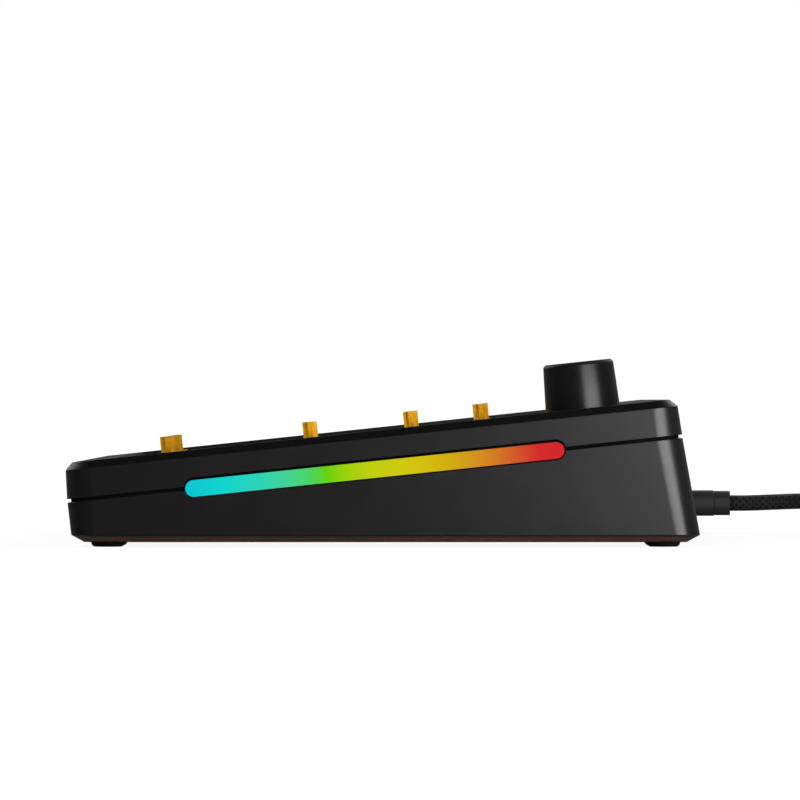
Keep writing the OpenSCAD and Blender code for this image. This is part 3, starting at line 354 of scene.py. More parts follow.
def boardFinish(name, settings):
    # solder mask over straight copper runs, which change direction from patch to patch
    shared = boardSettings
    finish = Finish(name, {"Specular IOR Level": shared["gloss"]})
    turned = finish.onDeck(finish.place())
    crossed = finish.node("ShaderNodeMapping", inputs={"Vector": turned, "Rotation": (0, 0, math.pi / 2)})
    along, across = [finish.node("ShaderNodeTexBrick", shared["bricks"], {
        "Vector": place, "Scale": settings["runScale"], "Mortar Size": settings["runWide"],
        "Mortar Smooth": shared["smooth"], "Brick Width": shared["long"], "Row Height": shared["row"],
    }, out=1) for place in (turned, crossed)]
    patch = finish.node("ShaderNodeTexVoronoi", {"feature": "F1", "distance": "CHEBYCHEV"},
                        {"Vector": turned, "Scale": settings["patchScale"]}, out=1)
    swapped = finish.axes(patch)[0].over(0.5, shared["patchSoft"])
    runs = along * (1 - swapped) + across * swapped
    dots = finish.node("ShaderNodeTexVoronoi", {"feature": "F1"},
                       {"Vector": turned, "Scale": settings["viaScale"]})
    vias = 1 - dots.over(shared["viaWide"], shared["viaSoft"])
    mask = finish.mix(runs, settings["mask"], settings["run"])
    colour = finish.mix(vias * shared["viaShare"], mask, settings["via"])
    ripple = finish.noise(shared["rippleScale"])
    height = runs * shared["runHigh"] + vias * shared["viaHigh"] + ripple * shared["rippleHigh"]
    rough = shared["rough"] + (ripple - 0.5) * shared["roughSpread"]
    return finish.give(colour=colour, rough=rough, normal=finish.bump(height, shared["depth"]))


foamSettings = {"gloss": 0.15, "cloudScale": 60, "toneGain": 1.2, "rough": 0.9, "roughSpread": 0.1}


def foamFinish(name, settings):
    # cut foam: open cells of mixed size
    finish = Finish(name, {"Specular IOR Level": foamSettings["gloss"]})
    cells = finish.node("ShaderNodeTexVoronoi", {"feature": "F1"},
                        {"Vector": finish.place(), "Scale": settings["scale"], "Randomness": 1.0})
    cloud = finish.noise(foamSettings["cloudScale"], 3)
    colour = finish.mix((cells * foamSettings["toneGain"]).clip(), settings["dark"], settings["light"])
    rough = foamSettings["rough"] + (cloud - 0.5) * foamSettings["roughSpread"]
    return finish.give(colour=colour, rough=rough, normal=finish.bump(cells, settings["depth"]))


ribbonSettings = tones("#8e8e90", "#c4c4c6", pitch=0.0006, gloss=0.45, rough=0.4, roughSpread=0.05,
                       depth=0.0001)


def ribbonFinish(name, settings):
    # flat cable: one ridge for each wire, across its width
    finish = Finish(name, {"Specular IOR Level": settings["gloss"]})
    ridge = (finish.axes(finish.place())[0] * (2 * math.pi / settings["pitch"])).sine()
    colour = finish.mix(ridge * 0.5 + 0.5, settings["dark"], settings["light"])
    rough = settings["rough"] + ridge * settings["roughSpread"]
    return finish.give(colour=colour, rough=rough, normal=finish.bump(ridge, settings["depth"]))


braidSettings = tones("#060606", "#29292b", mid=linear("#131314"), midStop=0.55, strands=7, lay=1.7,
                      thread=0.28, weaveShare=0.75, threadShare=0.2, swapShare=0.1, gloss=0.3, rough=0.78,
                      roughDrop=0.12, depth=0.00025)


def braidFinish(name, settings):
    # braided sleeve on the cable's own map: u round it, v along it in millimetres
    finish = Finish(name, {"Specular IOR Level": settings["gloss"]})
    u, v = finish.axes(finish.node("ShaderNodeUVMap", {"uv_map": "braid"}))[:2]
    turn = u * (2 * math.pi * settings["strands"])
    run = v * (2 * math.pi / settings["lay"])
    left = (turn + run).sine()
    right = (turn - run).sine()
    swap = (turn * 2 + run * 2).sine() * (turn * 2 - run * 2).sine()
    weave = left.largest(right) * 0.5 + 0.5
    threads = (v * (2 * math.pi / settings["thread"]) + turn * 3).sine() * 0.5 + 0.5
    tone = weave * settings["weaveShare"] + threads * settings["threadShare"] + swap * settings["swapShare"]
    tone = tone.clip()
    colour = finish.ramp(tone, [(0.0, settings["dark"]), (settings["midStop"], settings["mid"]),
                                (1.0, settings["light"])])
    rough = settings["rough"] - tone * settings["roughDrop"]
    return finish.give(colour=colour, rough=rough, normal=finish.bump(tone, settings["depth"]))


weaveSettings = tones("#0c0c0c", "#2a2a2b", pitch=0.0008, fuzzScale=2400, weaveShare=0.7, fuzzShare=0.3,
                      gloss=0.2, rough=0.85, roughDrop=0.1, depth=0.00015)


def strapFinish(name, settings):
    # woven hook strap: small ribs both ways
    finish = Finish(name, {"Specular IOR Level": settings["gloss"]})
    x, y, z = finish.axes(finish.place())
    warp = (y * (2 * math.pi / settings["pitch"])).sine()
    weft = ((x + z) * (2 * math.pi / settings["pitch"])).sine()
    weave = warp * weft * 0.5 + 0.5
    fuzz = finish.noise(settings["fuzzScale"], 3)
    tone = (weave * settings["weaveShare"] + fuzz * settings["fuzzShare"]).clip()
    colour = finish.mix(tone, settings["dark"], settings["light"])
    rough = settings["rough"] - tone * settings["roughDrop"]
    return finish.give(colour=colour, rough=rough, normal=finish.bump(tone, settings["depth"]))


moulded = {"rough": 0.5, "gloss": 0.35, "grainScale": 3000, "grainDepth": 0.000015}
mainBoard = {"mask": linear("#0f1d15"), "run": linear("#193324"), "via": linear("#a89a6a"),
             "runScale": 110, "runWide": 0.022, "patchScale": 95, "viaScale": 120}
stripBoard = {"mask": linear("#123420"), "run": linear("#1d4a2e"), "via": linear("#b8ab7c"),
              "runScale": 160, "runWide": 0.022, "patchScale": 140, "viaScale": 200}
finishOf = {
    "upper_shell": mouldedFinish("satinUpperShell", shellSettings),
    # the lower shell carries a painted reflection of the ground on its floor chamfer
    "lower_shell": mouldedFinish("satinLowerShell", shellSettings, warmCast),
    "light_diffuser": lightBarFinish("litDiffuser", barSettings),
    "knob_black": knobFinish("turnedKnob", knobSettings),
    "amber_stem": stemFinish("amberStem", stemSettings),
    "plate": mouldedFinish("coatedPlate", tones("#19191b", "#222225", moulded, rough=0.48, grainScale=2200,
                                                grainDepth=0.00003)),
    "board": boardFinish("solderMask", mainBoard),
    "light_board": boardFinish("stripMask", stripBoard),
    "guide_plastic": mouldedFinish("guidePlastic", tones("#121213", "#1a1a1b", moulded)),
    "socket_plastic": mouldedFinish("socketPlastic", tones("#161616", "#202021", moulded)),
    "plug_black": mouldedFinish("plugPlastic", tones("#1e1d1d", "#262525", moulded, rough=0.62, gloss=0.3,
                                                     grainDepth=0.00003)),
    "header_plastic": mouldedFinish("headerPlastic", tones("#d2ccb8", "#e2ddcb", moulded)),
    "led_lens": mouldedFinish("ledLens", tones("#d8cf9a", "#efe8c4", moulded, rough=0.22, gloss=0.5,
                                               grainScale=1500)),
    "foot_rubber": mouldedFinish("footRubber", tones("#0d0c0c", "#151312", moulded, rough=0.72, gloss=0.25,
                                                     grainScale=1800, grainDepth=0.00005)),
    "grey_foam": foamFinish("greyFoam", tones("#3a3a3c", "#6a6a6d", scale=1600, depth=0.0002)),
    "gasket_foam": foamFinish("gasketFoam", tones("#1d1d1e", "#3a3a3b", scale=2400, depth=0.00012)),
    "black_steel": metalFinish("blackSteel", tones("#3a3a3d", "#5a5a5e", rough=0.42, stretch=(1, 1, 8),
                                                   scale=900, depth=0.00001)),
    "bright_steel": metalFinish("brightSteel", tones("#b4b4b6", "#d8d8da", rough=0.42, stretch=(1, 12, 12),
                                                     scale=500, depth=0.000006)),
    "encoder_steel": metalFinish("encoderSteel", tones("#a8a59c", "#cac7bd", rough=0.34, stretch=(8, 8, 1),
                                                       scale=500, depth=0.000006)),
    "brass": metalFinish("turnedBrass", tones("#b08a3a", "#d8b25c", rough=0.3, stretch=(1, 1, 10), scale=700,
                                              depth=0.000008)),
    "ribbon": ribbonFinish("flatRibbon", ribbonSettings),
    "cable_braid": braidFinish("braidedSleeve", braidSettings),
    "strap": strapFinish("wovenStrap", weaveSettings),
}
print("finishes made:", len(finishOf))


def addPiece(name, bm, finish, body, replaced=()):
    mesh = bpy.data.meshes.new(name)
    bm.to_mesh(mesh)
    bm.free()
    piece = bpy.data.objects.new(name, mesh)
    mesh.materials.append(finish)
    scene.collection.objects.link(piece)
    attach(piece, body)
    if replaced:
        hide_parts(*replaced)
    return piece


# the cable: lead, coil and tail on one route, the same points as the solids
cableSettings = {
    "start": (-116, 88.4408, 7.8), "wide": 4, "sides": 14, "gap": 0.5, "turns": 3, "layers": 4, "meanR": 22.5,
    "stand": 53.6, "strap": 0.8, "lift": 0.1, "perTurn": 24, "climb": 0.5, "cuts": 2,
    "lead": [(0, 0, 0), (0, 4, 0), (0, 8.6, 0.15), (0, 13.6, 0.35), (0, 18.6, 0.5), (0, 22.6, 0.3),
             (0, 26.6, -0.3), (0, 30.6, -1.3), (0, 34.6, -2.6), (0, 38.6, -3.7), (0, 42.6, -4.5),
             (0, 45.6, -4.85), (0, 49.6, -4.9)],
    "tail": [(0, 0, 0), (0, 4, 0), (-1.5, 11, -0.6), (-5.5, 16.5, -2), (-11, 20.5, -4), (-18, 22, -6.2),
             (-25, 20.5, -8.4), (-30.5, 16.5, -10.2), (-34.5, 11, -11.5), (-36, 4, -12.2), (-36, 0, -12.4),
             (-36, -4, -12.4)],
}


def cableRoute(settings):
    start = Vector(settings["start"])
    step = settings["wide"] + settings["gap"]
    outer = settings["meanR"] + settings["turns"] * step / 2
    inner = outer - settings["turns"] * step
    low = settings["wide"] / 2 + settings["strap"] + settings["lift"]
    high = low + (settings["layers"] - 1) * step
    centre = Vector((start.x + outer, start.y + settings["stand"], 0))
    points = [start + Vector(p) for p in settings["lead"]]
    loops = settings["turns"] * settings["layers"]
    for i in range(1, loops * settings["perTurn"] + 1):
        t = i / settings["perTurn"]
        layer = min(int(t / settings["turns"]), settings["layers"] - 1)
        part = t - layer * settings["turns"]
        r = outer - part * step if layer % 2 == 0 else inner + part * step
        past = [(t - n * settings["turns"]) / settings["climb"] + 0.5 for n in range(1, settings["layers"])]
        climbs = sum(max(0, min(1, share)) for share in past)
        a = 2 * math.pi * t
        points.append(Vector((centre.x - r * math.cos(a), centre.y + r * math.sin(a), low + step * climbs)))
    end = Vector((start.x, centre.y + settings["wide"], high))
    points += [end + Vector(p) for p in settings["tail"]]
    return [p * mm for p in points], centre * mm, outer * mm, inner * mm, high * mm


def smoothRoute(points, cuts):
    # rounds the route off between its points
    out = []
    for i in range(len(points) - 1):
        before = points[max(i - 1, 0)]
        after = points[min(i + 2, len(points) - 1)]
        for n in range(cuts):
            s = n / cuts
            a, b = points[i], points[i + 1]
            bend = (before * 2 - a * 5 + b * 4 - after) * (s * s * 0.5)
            twist = (a * 3 - before - b * 3 + after) * (s ** 3 * 0.5)
            out.append(a + (b - before) * (s * 0.5) + bend + twist)
    return out + [points[-1]]


def ringFrame(points, i):
    run = (points[min(i + 1, len(points) - 1)] - points[max(i - 1, 0)]).normalized()
    side = run.cross(Vector((0, 0, 1))).normalized()
    up = side.cross(run)
    turn = Matrix((side, up, run)).transposed().to_4x4()
    return Matrix.Translation(points[i]) @ turn


def sweepTube(points, radius, sides):
    # a ring drawn along the route, with its own map for the braid
    bm = bmesh.new()
    along = bm.verts.layers.float.new("along")
    around = bm.verts.layers.float.new("around")
    made = bmesh.ops.create_circle(bm, segments=sides, radius=radius, matrix=ringFrame(points, 0))
    ring = list({edge for vert in made["verts"] for edge in vert.link_edges})
    firstFrame = ringFrame(points, 0).inverted()
    for vert in made["verts"]:
        local = firstFrame @ vert.co
        vert[around] = math.atan2(local.y, local.x) / (2 * math.pi)
    bmesh.ops.edgeloop_fill(bm, edges=ring)
    gone = 0
    for i in range(1, len(points)):
        gone += (points[i] - points[i - 1]).length
        out = bmesh.ops.extrude_edge_only(bm, edges=ring)["geom"]
        verts = [g for g in out if isinstance(g, bmesh.types.BMVert)]
        move = ringFrame(points, i) @ ringFrame(points, i - 1).inverted()
        bmesh.ops.transform(bm, matrix=move, verts=verts)
        for vert in verts:
            vert[along] = gone / mm
        inside = set(verts)
        ring = [g for g in out if isinstance(g, bmesh.types.BMEdge) and set(g.verts) <= inside]
    bmesh.ops.edgeloop_fill(bm, edges=ring)
    bmesh.ops.recalc_face_normals(bm, faces=bm.faces)
    braid = bm.loops.layers.uv.new("braid")
    for face in bm.faces:
        face.smooth = len(face.verts) == 4
        turns = [loop.vert[around] for loop in face.loops]
        for loop, turn in zip(face.loops, turns):
            loop[braid].uv = (turn + 1 if max(turns) - turn > 0.5 else turn, loop.vert[along])
    return bm


route, coilCentre, coilOuter, coilInner, coilHigh = cableRoute(cableSettings)
smoothed = smoothRoute(route, cableSettings["cuts"])
cable = addPiece("braidedCable", sweepTube(smoothed, cableSettings["wide"] * mm / 2, cableSettings["sides"]),
                 finishOf["cable_braid"], "case", ("cable_lead", "cable_coil", "cable_tail"))
routeLength = sum((b - a).length for a, b in zip(smoothed, smoothed[1:]))
print("cable swept, metres:", round(routeLength, 3))


def smoothFaces(bm, limit):
    # curves shaded smooth, with a sharp edge wherever faces meet at more than the limit
    for face in bm.faces:
        face.smooth = True
    for e in bm.edges:
        e.smooth = not e.is_manifold or e.calc_face_angle(0) < limit


def roundCorners(bm, verts, size, steps):
    bmesh.ops.bevel(bm, geom=verts, offset=size * mm, offset_type="OFFSET", segments=steps, profile=0.5,
                    affect="VERTICES", clamp_overlap=True, material=-1)


dressLimits = {"weld": 0.002, "shellWeld": 0.03, "flat": 0.3, "sharp": 32}


def dressNode(node, name, edge, rounds, pick=None, second=None):
    # a node's own solid with its crisp outer edges rounded and its curves shaded smooth
    bm = bmesh.new()
    bm.from_mesh(nodes[node].data)
    weld = dressLimits["shellWeld"] if pick else dressLimits["weld"]
    bmesh.ops.remove_doubles(bm, verts=bm.verts, dist=weld * mm)
    flat, limit = math.radians(dressLimits["flat"]), math.radians(dressLimits["sharp"])
    bmesh.ops.dissolve_limit(bm, angle_limit=flat, verts=bm.verts, edges=bm.edges)
    smoothFaces(bm, limit)
    if second:
        for face in bm.faces:
            face.material_index = int(second[0](face.calc_center_median()))
    crisp = [e for e in bm.edges if e.is_manifold and e.is_convex and e.calc_face_angle(0) > limit]
    if pick:
        crisp = [e for e in crisp if pick((e.verts[0].co + e.verts[1].co) / 2)]
    if edge:
        made = bmesh.ops.bevel(bm, geom=crisp, offset=edge * mm, offset_type="OFFSET", segments=rounds,
                               profile=0.5, affect="EDGES", clamp_overlap=False, loop_slide=True, material=-1)
        for face in made["faces"]:
            face.smooth = True
        for e in made["edges"]:
            e.smooth = True
    slot = slotOf[node]
    piece = addPiece(name, bm, finishOf[slot], bodyOf[node], (node,))
    if second:
        piece.data.materials.append(second[1])
    weights = piece.modifiers.new("weights", "WEIGHTED_NORMAL")
    weights.mode = "FACE_AREA"
    weights.keep_sharp = True
    return piece


toDeck = deckMatrix.inverted()
wallSettings = {
    "halfX": 167.132, "halfV": 71.882, "round": 6.3, "frontY": -72.404, "rearY": 73.731, "foot": 2.85,
    "frontLean": math.tan(math.radians(6.8)), "rearLean": math.tan(math.radians(10.2)), "skin": 0.5,
    "chamfer": 1.7, "chamferTop": 0.05, "rimDeep": 2.5, "rimLow": 1.9, "lipLow": -9.2, "lipUnder": 0.06,
    "lipOver": 0.02, "floorRise": -1.55, "floorOuter": 2.6, "floorInner": 3.9,
}
# painted shade: the lower shell's tongue inside the seam groove is near black and matt, where shade falls in
# the recess
grooveFinish = mouldedFinish("seamShade", tones("#040404", "#060606", moulded, rough=0.9, gloss=0.05))
# painted shade: the top case's rim chamfer gets a darker, less glossy copy of the shell finish, so that it
# stays black
rimFinish = mouldedFinish("rimShade", tones("#060606", "#080808", shellSettings, rough=0.45, gloss=0.07))


def wallDepth(x, y, halfX, halfY):
    # distance from the outer wall's outline, minus inwards
    qx = abs(x) - halfX + wallSettings["round"]
    qy = abs(y) - halfY + wallSettings["round"]
    return math.hypot(max(qx, 0), max(qy, 0)) + min(max(qx, qy), 0) - wallSettings["round"]


def rimDepth(point):
    x, v, w = (toDeck @ point) / mm
    return wallDepth(x, v, wallSettings["halfX"], wallSettings["halfV"]), w


def onUpperRim(point):
    depth, w = rimDepth(point)
    onTop = depth > -wallSettings["rimDeep"] and w > -wallSettings["rimLow"]
    return depth > -wallSettings["skin"] or onTop


def onLowerWalls(point):
    rise = point.z / mm - wallSettings["foot"]
    front = wallSettings["frontY"] - rise * wallSettings["frontLean"]
    rear = wallSettings["rearY"] - rise * wallSettings["rearLean"]
    middle = point.y / mm - (front + rear) / 2
    depth = wallDepth(point.x / mm, middle, wallSettings["halfX"], (rear - front) / 2)
    below = (toDeck @ point).z / mm < wallSettings["lipLow"] + wallSettings["lipUnder"]
    atFloor = -wallSettings["floorInner"] < depth < -wallSettings["floorOuter"]
    return below and (depth > -wallSettings["skin"] or (rise < wallSettings["floorRise"] and atFloor))


# faces of the lower shell's tongue inside the seam groove, which take the painted shade
def onTongue(point):
    return (toDeck @ point).z / mm > wallSettings["lipLow"] + wallSettings["lipOver"]


# faces of the top case's rim chamfer, which take the painted shade
def onChamfer(point):
    depth, w = rimDepth(point)
    return -wallSettings["chamfer"] < w < -wallSettings["chamferTop"] and depth > -wallSettings["rimDeep"]


# each node's piece, the rounding of its edges, the steps of that, and which edges
dressSettings = {
    "top_case": ("upperShell", 0.1, 2, onUpperRim),
    "bottom_case": ("lowerShell", 0.1, 2, onLowerWalls),
    "right_light_bar": ("rightLightBar", 0.12, 2, None),
    "left_light_bar": ("leftLightBar", 0.12, 2, None),
    "switch_plate": ("switchPlate", 0.1, 1, None),
    "rubber_feet": ("rubberFeet", 0.0, 1, None),
    "backspace_left_stem": ("backspaceLeftStem", 0.12, 2, None),
    "backspace_right_stem": ("backspaceRightStem", 0.12, 2, None),
    "enter_rear_stem": ("enterRearStem", 0.12, 2, None),
    "enter_front_stem": ("enterFrontStem", 0.12, 2, None),
    "space_left_stem": ("spaceLeftStem", 0.12, 2, None),
    "space_right_stem": ("spaceRightStem", 0.12, 2, None),
    "backspace_housings": ("backspaceHousings", 0.1, 2, None),
    "enter_housings": ("enterHousings", 0.1, 2, None),
    "space_housings": ("spaceHousings", 0.1, 2, None),
    "plate_screws": ("plateScrews", 0.07, 2, None),
    "case_screws": ("caseScrews", 0.12, 2, None),
    "plug_grip": ("plugGrip", 0.25, 3, None),
    "plug_collar": ("plugCollar", 0.2, 3, None),
    "far_plug_grip": ("farPlugGrip", 0.7, 3, None),
    "far_plug_shell": ("farPlugShell", 0.06, 2, None),
    "usb_socket": ("portSocket", 0.04, 2, None),
    "plug_shell": ("plugShell", 0.05, 2, None),
    "plate_foam": ("plateFoam", 0.15, 2, None),
    "floor_mat": ("floorMat", 0.4, 3, None),
    "upper_gaskets": ("upperGaskets", 0.5, 3, None),
    "lower_gaskets": ("lowerGaskets", 0.5, 3, None),
    "backspace_wire": ("backspaceWire", 0.0, 1, None),
    "enter_wire": ("enterWire", 0.0, 1, None),
    "space_wire": ("spaceWire", 0.0, 1, None),
}
# faces with a second finish: painted shade on the top case's rim chamfer and in the seam groove on the lower
# shell's tongue
secondOf = {"top_case": (onChamfer, rimFinish), "bottom_case": (onTongue, grooveFinish)}
pieces = {}
for node, (name, edge, rounds, pick) in dressSettings.items():
    pieces[node] = dressNode(node, name, edge, rounds, pick, secondOf.get(node))
print("solids dressed:", len(pieces))


def makeKnob(settings):
    # half section turned round the knob's axis, standing on the deck's frame
    bm = bmesh.new()
    base, top = settings["baseWide"] / 2, settings["topWide"] / 2
    inner = base - settings["wall"] - (base - top)
    section = [
        (0, settings["boreTop"]), (settings["boreWide"] / 2, settings["boreTop"]),
        (settings["boreWide"] / 2, settings["hubLow"]), (settings["hubWide"] / 2, settings["hubLow"]),
        (settings["hubWide"] / 2, settings["roof"]), (inner, settings["roof"]), (inner, settings["base"]),
        (base - settings["foot"], settings["base"]), (base, settings["base"] + settings["foot"]),
        (top, settings["top"]), (top - settings["round"] - settings["dishEdge"], settings["top"]),
        (top - settings["round"] - 2 * settings["dishEdge"], settings["top"] - settings["dish"]),
        (0, settings["top"] - settings["dish"]),
    ]
    verts = [bm.verts.new((r * mm, 0, w * mm)) for r, w in section]
    for pair in zip(verts, verts[1:]):
        bm.edges.new(pair)
    edge, lip = verts[9:11]
    roundCorners(bm, [edge], settings["round"], settings["roundSteps"])
    roundCorners(bm, [lip], settings["lipRound"], settings["lipSteps"])
    bmesh.ops.spin(bm, geom=bm.verts[:] + bm.edges[:], cent=(0, 0, 0), axis=(0, 0, 1), angle=2 * math.pi,
                   steps=settings["steps"], use_merge=True, use_duplicate=False)
    bmesh.ops.remove_doubles(bm, verts=bm.verts, dist=settings["merge"] * mm)
    bmesh.ops.recalc_face_normals(bm, faces=bm.faces)
    smoothFaces(bm, math.radians(settings["smooth"]))
    bmesh.ops.transform(bm, matrix=deckMatrix @ knobMatrix, verts=bm.verts)
    return addPiece("turnKnob", bm, finishOf["knob_black"], "knob", ("knob",))


makeKnob(knobSettings)
print("knob turned")

strapSettings = {"turn": 24, "thick": 0.8, "room": 0.35, "round": 2.4, "roundSteps": 5, "steps": 8,
                 "merge": 0.001, "smooth": 40, "lapLift": 0.04, "lapEnd": 4.5, "lapRound": 0.3, "lapSteps": 3}


def makeStrap(settings):
    # band round the bundle: a rounded frame in the section, swept a short way round the coil
    bm = bmesh.new()
    half = cableSettings["wide"] / 2
    step = cableSettings["wide"] + cableSettings["gap"]
    inner = coilInner / mm + step / 2 - half - settings["room"] - settings["thick"]
    outer = coilOuter / mm - step / 2 + half + settings["room"] + settings["thick"]
    top = coilHigh / mm + half + settings["room"] + settings["thick"]
    corners = [(inner, 0), (outer, 0), (outer, top), (inner, top)]
    verts = [bm.verts.new((r * mm, 0, z * mm)) for r, z in corners]
    bm.faces.new(verts)
    roundCorners(bm, verts, settings["round"], settings["roundSteps"])
    bmesh.ops.inset_region(bm, faces=bm.faces[:], thickness=settings["thick"] * mm, use_even_offset=True)
    hole = max(bm.faces, key=lambda f: len(f.verts))
    bmesh.ops.delete(bm, geom=[hole], context="FACES_ONLY")
    lapLow = top + settings["lapLift"]
    lapHigh = lapLow + settings["thick"]
    lapFrom, lapTo = inner + settings["round"], outer - settings["lapEnd"]
    corners = [(lapFrom, lapLow), (lapTo, lapLow), (lapTo, lapHigh), (lapFrom, lapHigh)]
    lap = [bm.verts.new((r * mm, 0, z * mm)) for r, z in corners]
    bm.faces.new(lap)
    roundCorners(bm, lap, settings["lapRound"], settings["lapSteps"])
    angle = math.radians(settings["turn"])
    bmesh.ops.rotate(bm, verts=bm.verts, cent=(0, 0, 0), matrix=Matrix.Rotation(-angle / 2, 3, "Z"))
    bmesh.ops.spin(bm, geom=bm.faces[:] + bm.edges[:] + bm.verts[:], cent=(0, 0, 0), axis=(0, 0, 1),
                   angle=angle, steps=settings["steps"], use_merge=False, use_duplicate=False)
    bmesh.ops.remove_doubles(bm, verts=bm.verts, dist=settings["merge"] * mm)
    bmesh.ops.bridge_loops(bm, edges=[e for e in bm.edges if e.is_boundary])
    bmesh.ops.recalc_face_normals(bm, faces=bm.faces)
    smoothFaces(bm, math.radians(settings["smooth"]))
    bmesh.ops.translate(bm, vec=coilCentre, verts=bm.verts)
    return addPiece("coilStrap", bm, finishOf["strap"], "case", ("coil_tie",))


strap = makeStrap(strapSettings)
print("strap made")

cupSettings = {"outer": 1.3, "inner": 0.8, "deep": 0.8, "tall": 1.0, "sink": 0.02, "sides": 14,
               "pins": [(-3.81, 2.54), (2.54, 5.08)]}


def makeCups(settings, spots):
    # small round metal cups under the board's pin holes, mouths up
    bm = bmesh.new()
    outer, inner, deep, tall = (settings[key] * mm for key in ("outer", "inner", "deep", "tall"))
    top = (deckSettings["boardLow"] - settings["sink"]) * mm
    for x, v in spots:
        place = Matrix.Translation((x * mm, v * mm, top - tall / 2))
        made = bmesh.ops.create_cone(bm, cap_ends=True, segments=settings["sides"], radius1=outer,
                                     radius2=outer, depth=tall, matrix=place)
        face = max(made["verts"][-1].link_faces, key=lambda f: f.calc_center_median().z)
        bmesh.ops.inset_region(bm, faces=[face], thickness=outer - inner, use_even_offset=True)
        sunk = bmesh.ops.extrude_discrete_faces(bm, faces=[face])["faces"]
        bmesh.ops.translate(bm, vec=(0, 0, -deep), verts=sunk[0].verts)
    bmesh.ops.transform(bm, matrix=deckMatrix, verts=bm.verts)
    return addPiece("pinCups", bm, finishOf["bright_steel"], "case", ())


pinSpots = [(x + px, v + pv) for x, v in keyPlaces for px, pv in cupSettings["pins"]]
makeCups(cupSettings, pinSpots)
print("pin cups made:", len(pinSpots))

ledSettings = tones("#d9d6cc", "#e6e4dc", moulded, wide=3.2, deep=2.6, top=-0.12, tall=1.5, forward=5.08,
                    edge=0.12, lens=1.05, lensFlat=0.11, lensSink=0.02, lensRound=10, lensRings=5)


def makeLeds(settings):
    # white packages in the board, with a low round lens on each
    bodies = bmesh.new()
    lenses = bmesh.new()
    top = deckSettings["boardTop"] + settings["top"]
    size = Matrix.Diagonal((settings["wide"] * mm, settings["deep"] * mm, settings["tall"] * mm, 1))
    squash = Matrix.Diagonal((1, 1, settings["lensFlat"], 1))
    for x, v in keyPlaces:
        middle = (v - settings["forward"]) * mm
        centre = Matrix.Translation((x * mm, middle, (top - settings["tall"] / 2) * mm))
        above = Matrix.Translation((x * mm, middle, (top - settings["lensSink"]) * mm))
        bmesh.ops.create_cube(bodies, size=1, matrix=centre @ size)
        bmesh.ops.create_uvsphere(lenses, u_segments=settings["lensRound"], v_segments=settings["lensRings"],
                                  radius=settings["lens"] * mm, matrix=above @ squash)
    bmesh.ops.bevel(bodies, geom=bodies.edges[:], offset=settings["edge"] * mm, offset_type="OFFSET",
                    segments=1, profile=0.5, affect="EDGES", clamp_overlap=True, material=-1)
    for face in lenses.faces:
        face.smooth = True
    for bm in (bodies, lenses):
        bmesh.ops.transform(bm, matrix=deckMatrix, verts=bm.verts)
    package = mouldedFinish("ledPackage", settings)
    addPiece("ledPackages", bodies, package, "case", ("key_leds",))
    addPiece("ledLenses", lenses, finishOf["led_lens"], "case", ())


makeLeds(ledSettings)
print("key lights made")

# solids that stay as they are take the finish of their slot
for node, piece in nodes.items():
    if node not in pieces and not piece.hide_render:
        for place in piece.material_slots:
            place.material = finishOf[slotOf[node]]
print("finishes given")

# floor, backdrop and lamps: mirror-like rays see only a part of the white, so that black mouldings stay black
stageSettings = {
    "floorWide": 40, "floorDrop": 0.00002, "floorColour": (0.82, 0.81, 0.79, 1), "floorRough": 0.9,
    "floorNear": 0.86, "floorFar": 0.995, "nearReach": 0.35, "farReach": 1.1, "floorGlow": 1.06,
    "floorShine": 0.1, "shineColour": (1, 0.9, 0.82, 1), "shineShare": 0.9,
    "worldPlain": 0.12, "worldShine": 0.18,
}
floorMesh = bmesh.new()
bmesh.ops.create_grid(floorMesh, x_segments=1, y_segments=1, size=stageSettings["floorWide"] / 2)
floorData = bpy.data.meshes.new("paleFloor")
floorMesh.to_mesh(floorData)
floorMesh.free()
floor = bpy.data.objects.new("paleFloor", floorData)
floor.location = (0, 0, -stageSettings["floorDrop"])
scene.collection.objects.link(floor)
floorFinish = Finish("paleFloor", {"Base Color": stageSettings["floorColour"],
                                   "Roughness": stageSettings["floorRough"], "Specular IOR Level": 0.0})
seen = floorFinish.node("ShaderNodeLightPath", out="Is Camera Ray")
shine = floorFinish.node("ShaderNodeLightPath", out="Is Glossy Ray")
through = floorFinish.node("ShaderNodeLightPath", out="Is Transmission Ray")
glowing = floorFinish.node("ShaderNodeEmission", inputs={"Color": (1, 1, 1, 1),
                                                         "Strength": stageSettings["floorGlow"]})
away = floorFinish.node("ShaderNodeVectorMath", {"operation": "LENGTH"}, {0: floorFinish.place()}, out=1)
far = ((away - stageSettings["nearReach"]) / (stageSettings["farReach"] - stageSettings["nearReach"])).clip()
white = stageSettings["floorNear"] + far * (stageSettings["floorFar"] - stageSettings["floorNear"])
matt = Value(floorFinish.tree, floorFinish.shader.outputs[0])
direct = (seen + through).clip() * white
blend = floorFinish.node("ShaderNodeMixShader", inputs={0: direct, 1: matt, 2: glowing})
dim = floorFinish.node("ShaderNodeEmission", inputs={"Color": stageSettings["shineColour"],
                                                     "Strength": stageSettings["floorShine"]})
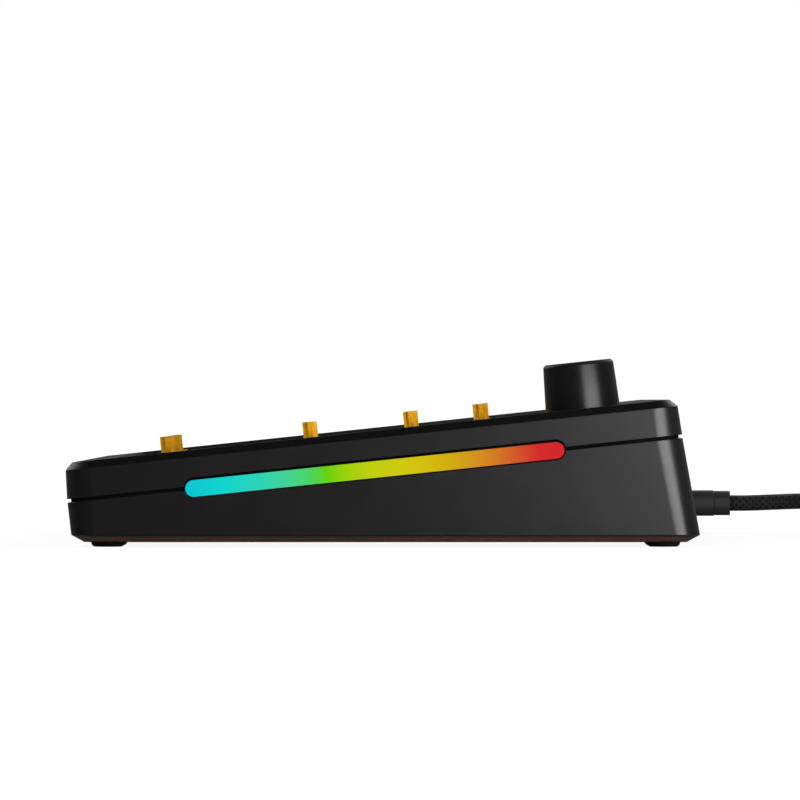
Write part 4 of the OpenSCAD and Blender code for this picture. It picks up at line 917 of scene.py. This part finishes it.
mirrored = shine * stageSettings["shineShare"]
blend = floorFinish.node("ShaderNodeMixShader", inputs={0: mirrored, 1: blend, 2: dim})
floorFinish.tree.links.new(blend.socket, floorFinish.tree.nodes["Material Output"].inputs["Surface"])
floorData.materials.append(floorFinish.material)

world = bpy.data.worlds.new("studio")
world.use_nodes = True
scene.world = world
tree = world.node_tree
paths = tree.nodes.new("ShaderNodeLightPath")
cameraPath = Value(tree, paths.outputs["Is Camera Ray"])
glossyPath = Value(tree, paths.outputs["Is Glossy Ray"])
clearPath = Value(tree, paths.outputs["Is Transmission Ray"])
plain = stageSettings["worldPlain"]
strength = (cameraPath + clearPath).clip() * (1 - plain) + glossyPath * (stageSettings["worldShine"] - plain)
strength = strength + plain
tree.nodes["Background"].inputs["Color"].default_value = (1, 1, 1, 1)
tree.links.new(strength.socket, tree.nodes["Background"].inputs["Strength"])

lampSettings = {
    "rearStrip": {"place": (0.405, 0.205, 0.05), "aim": (0.167, 0.07, 0.025), "size": (0.24, 0.14),
                  "power": 2.0, "mirrored": True},
    "softFill": {"place": (1.1, -0.25, 0.7), "aim": (0.1, 0, 0.02), "size": (0.5, 0.5), "power": 5.0,
                 "mirrored": False},
    "frontLeft": {"place": (-0.85, -0.95, 0.85), "aim": (0, 0, 0.02), "size": (0.9, 0.9), "power": 14.0,
                  "mirrored": True},
    "rearLeft": {"place": (-0.95, 0.65, 0.75), "aim": (0, 0, 0.02), "size": (0.7, 0.7), "power": 8.0,
                 "mirrored": True},
}
for name, settings in lampSettings.items():
    lamp = bpy.data.lights.new(name, "AREA")
    lamp.shape = "RECTANGLE"
    lamp.size, lamp.size_y = settings["size"]
    lamp.energy = settings["power"]
    holder = bpy.data.objects.new(name, lamp)
    holder.location = settings["place"]
    ray = Vector(settings["aim"]) - Vector(settings["place"])
    holder.rotation_euler = ray.to_track_quat("-Z", "Y").to_euler()
    holder.visible_camera = False
    holder.visible_glossy = settings["mirrored"]
    scene.collection.objects.link(holder)
print("stage and lamps set")
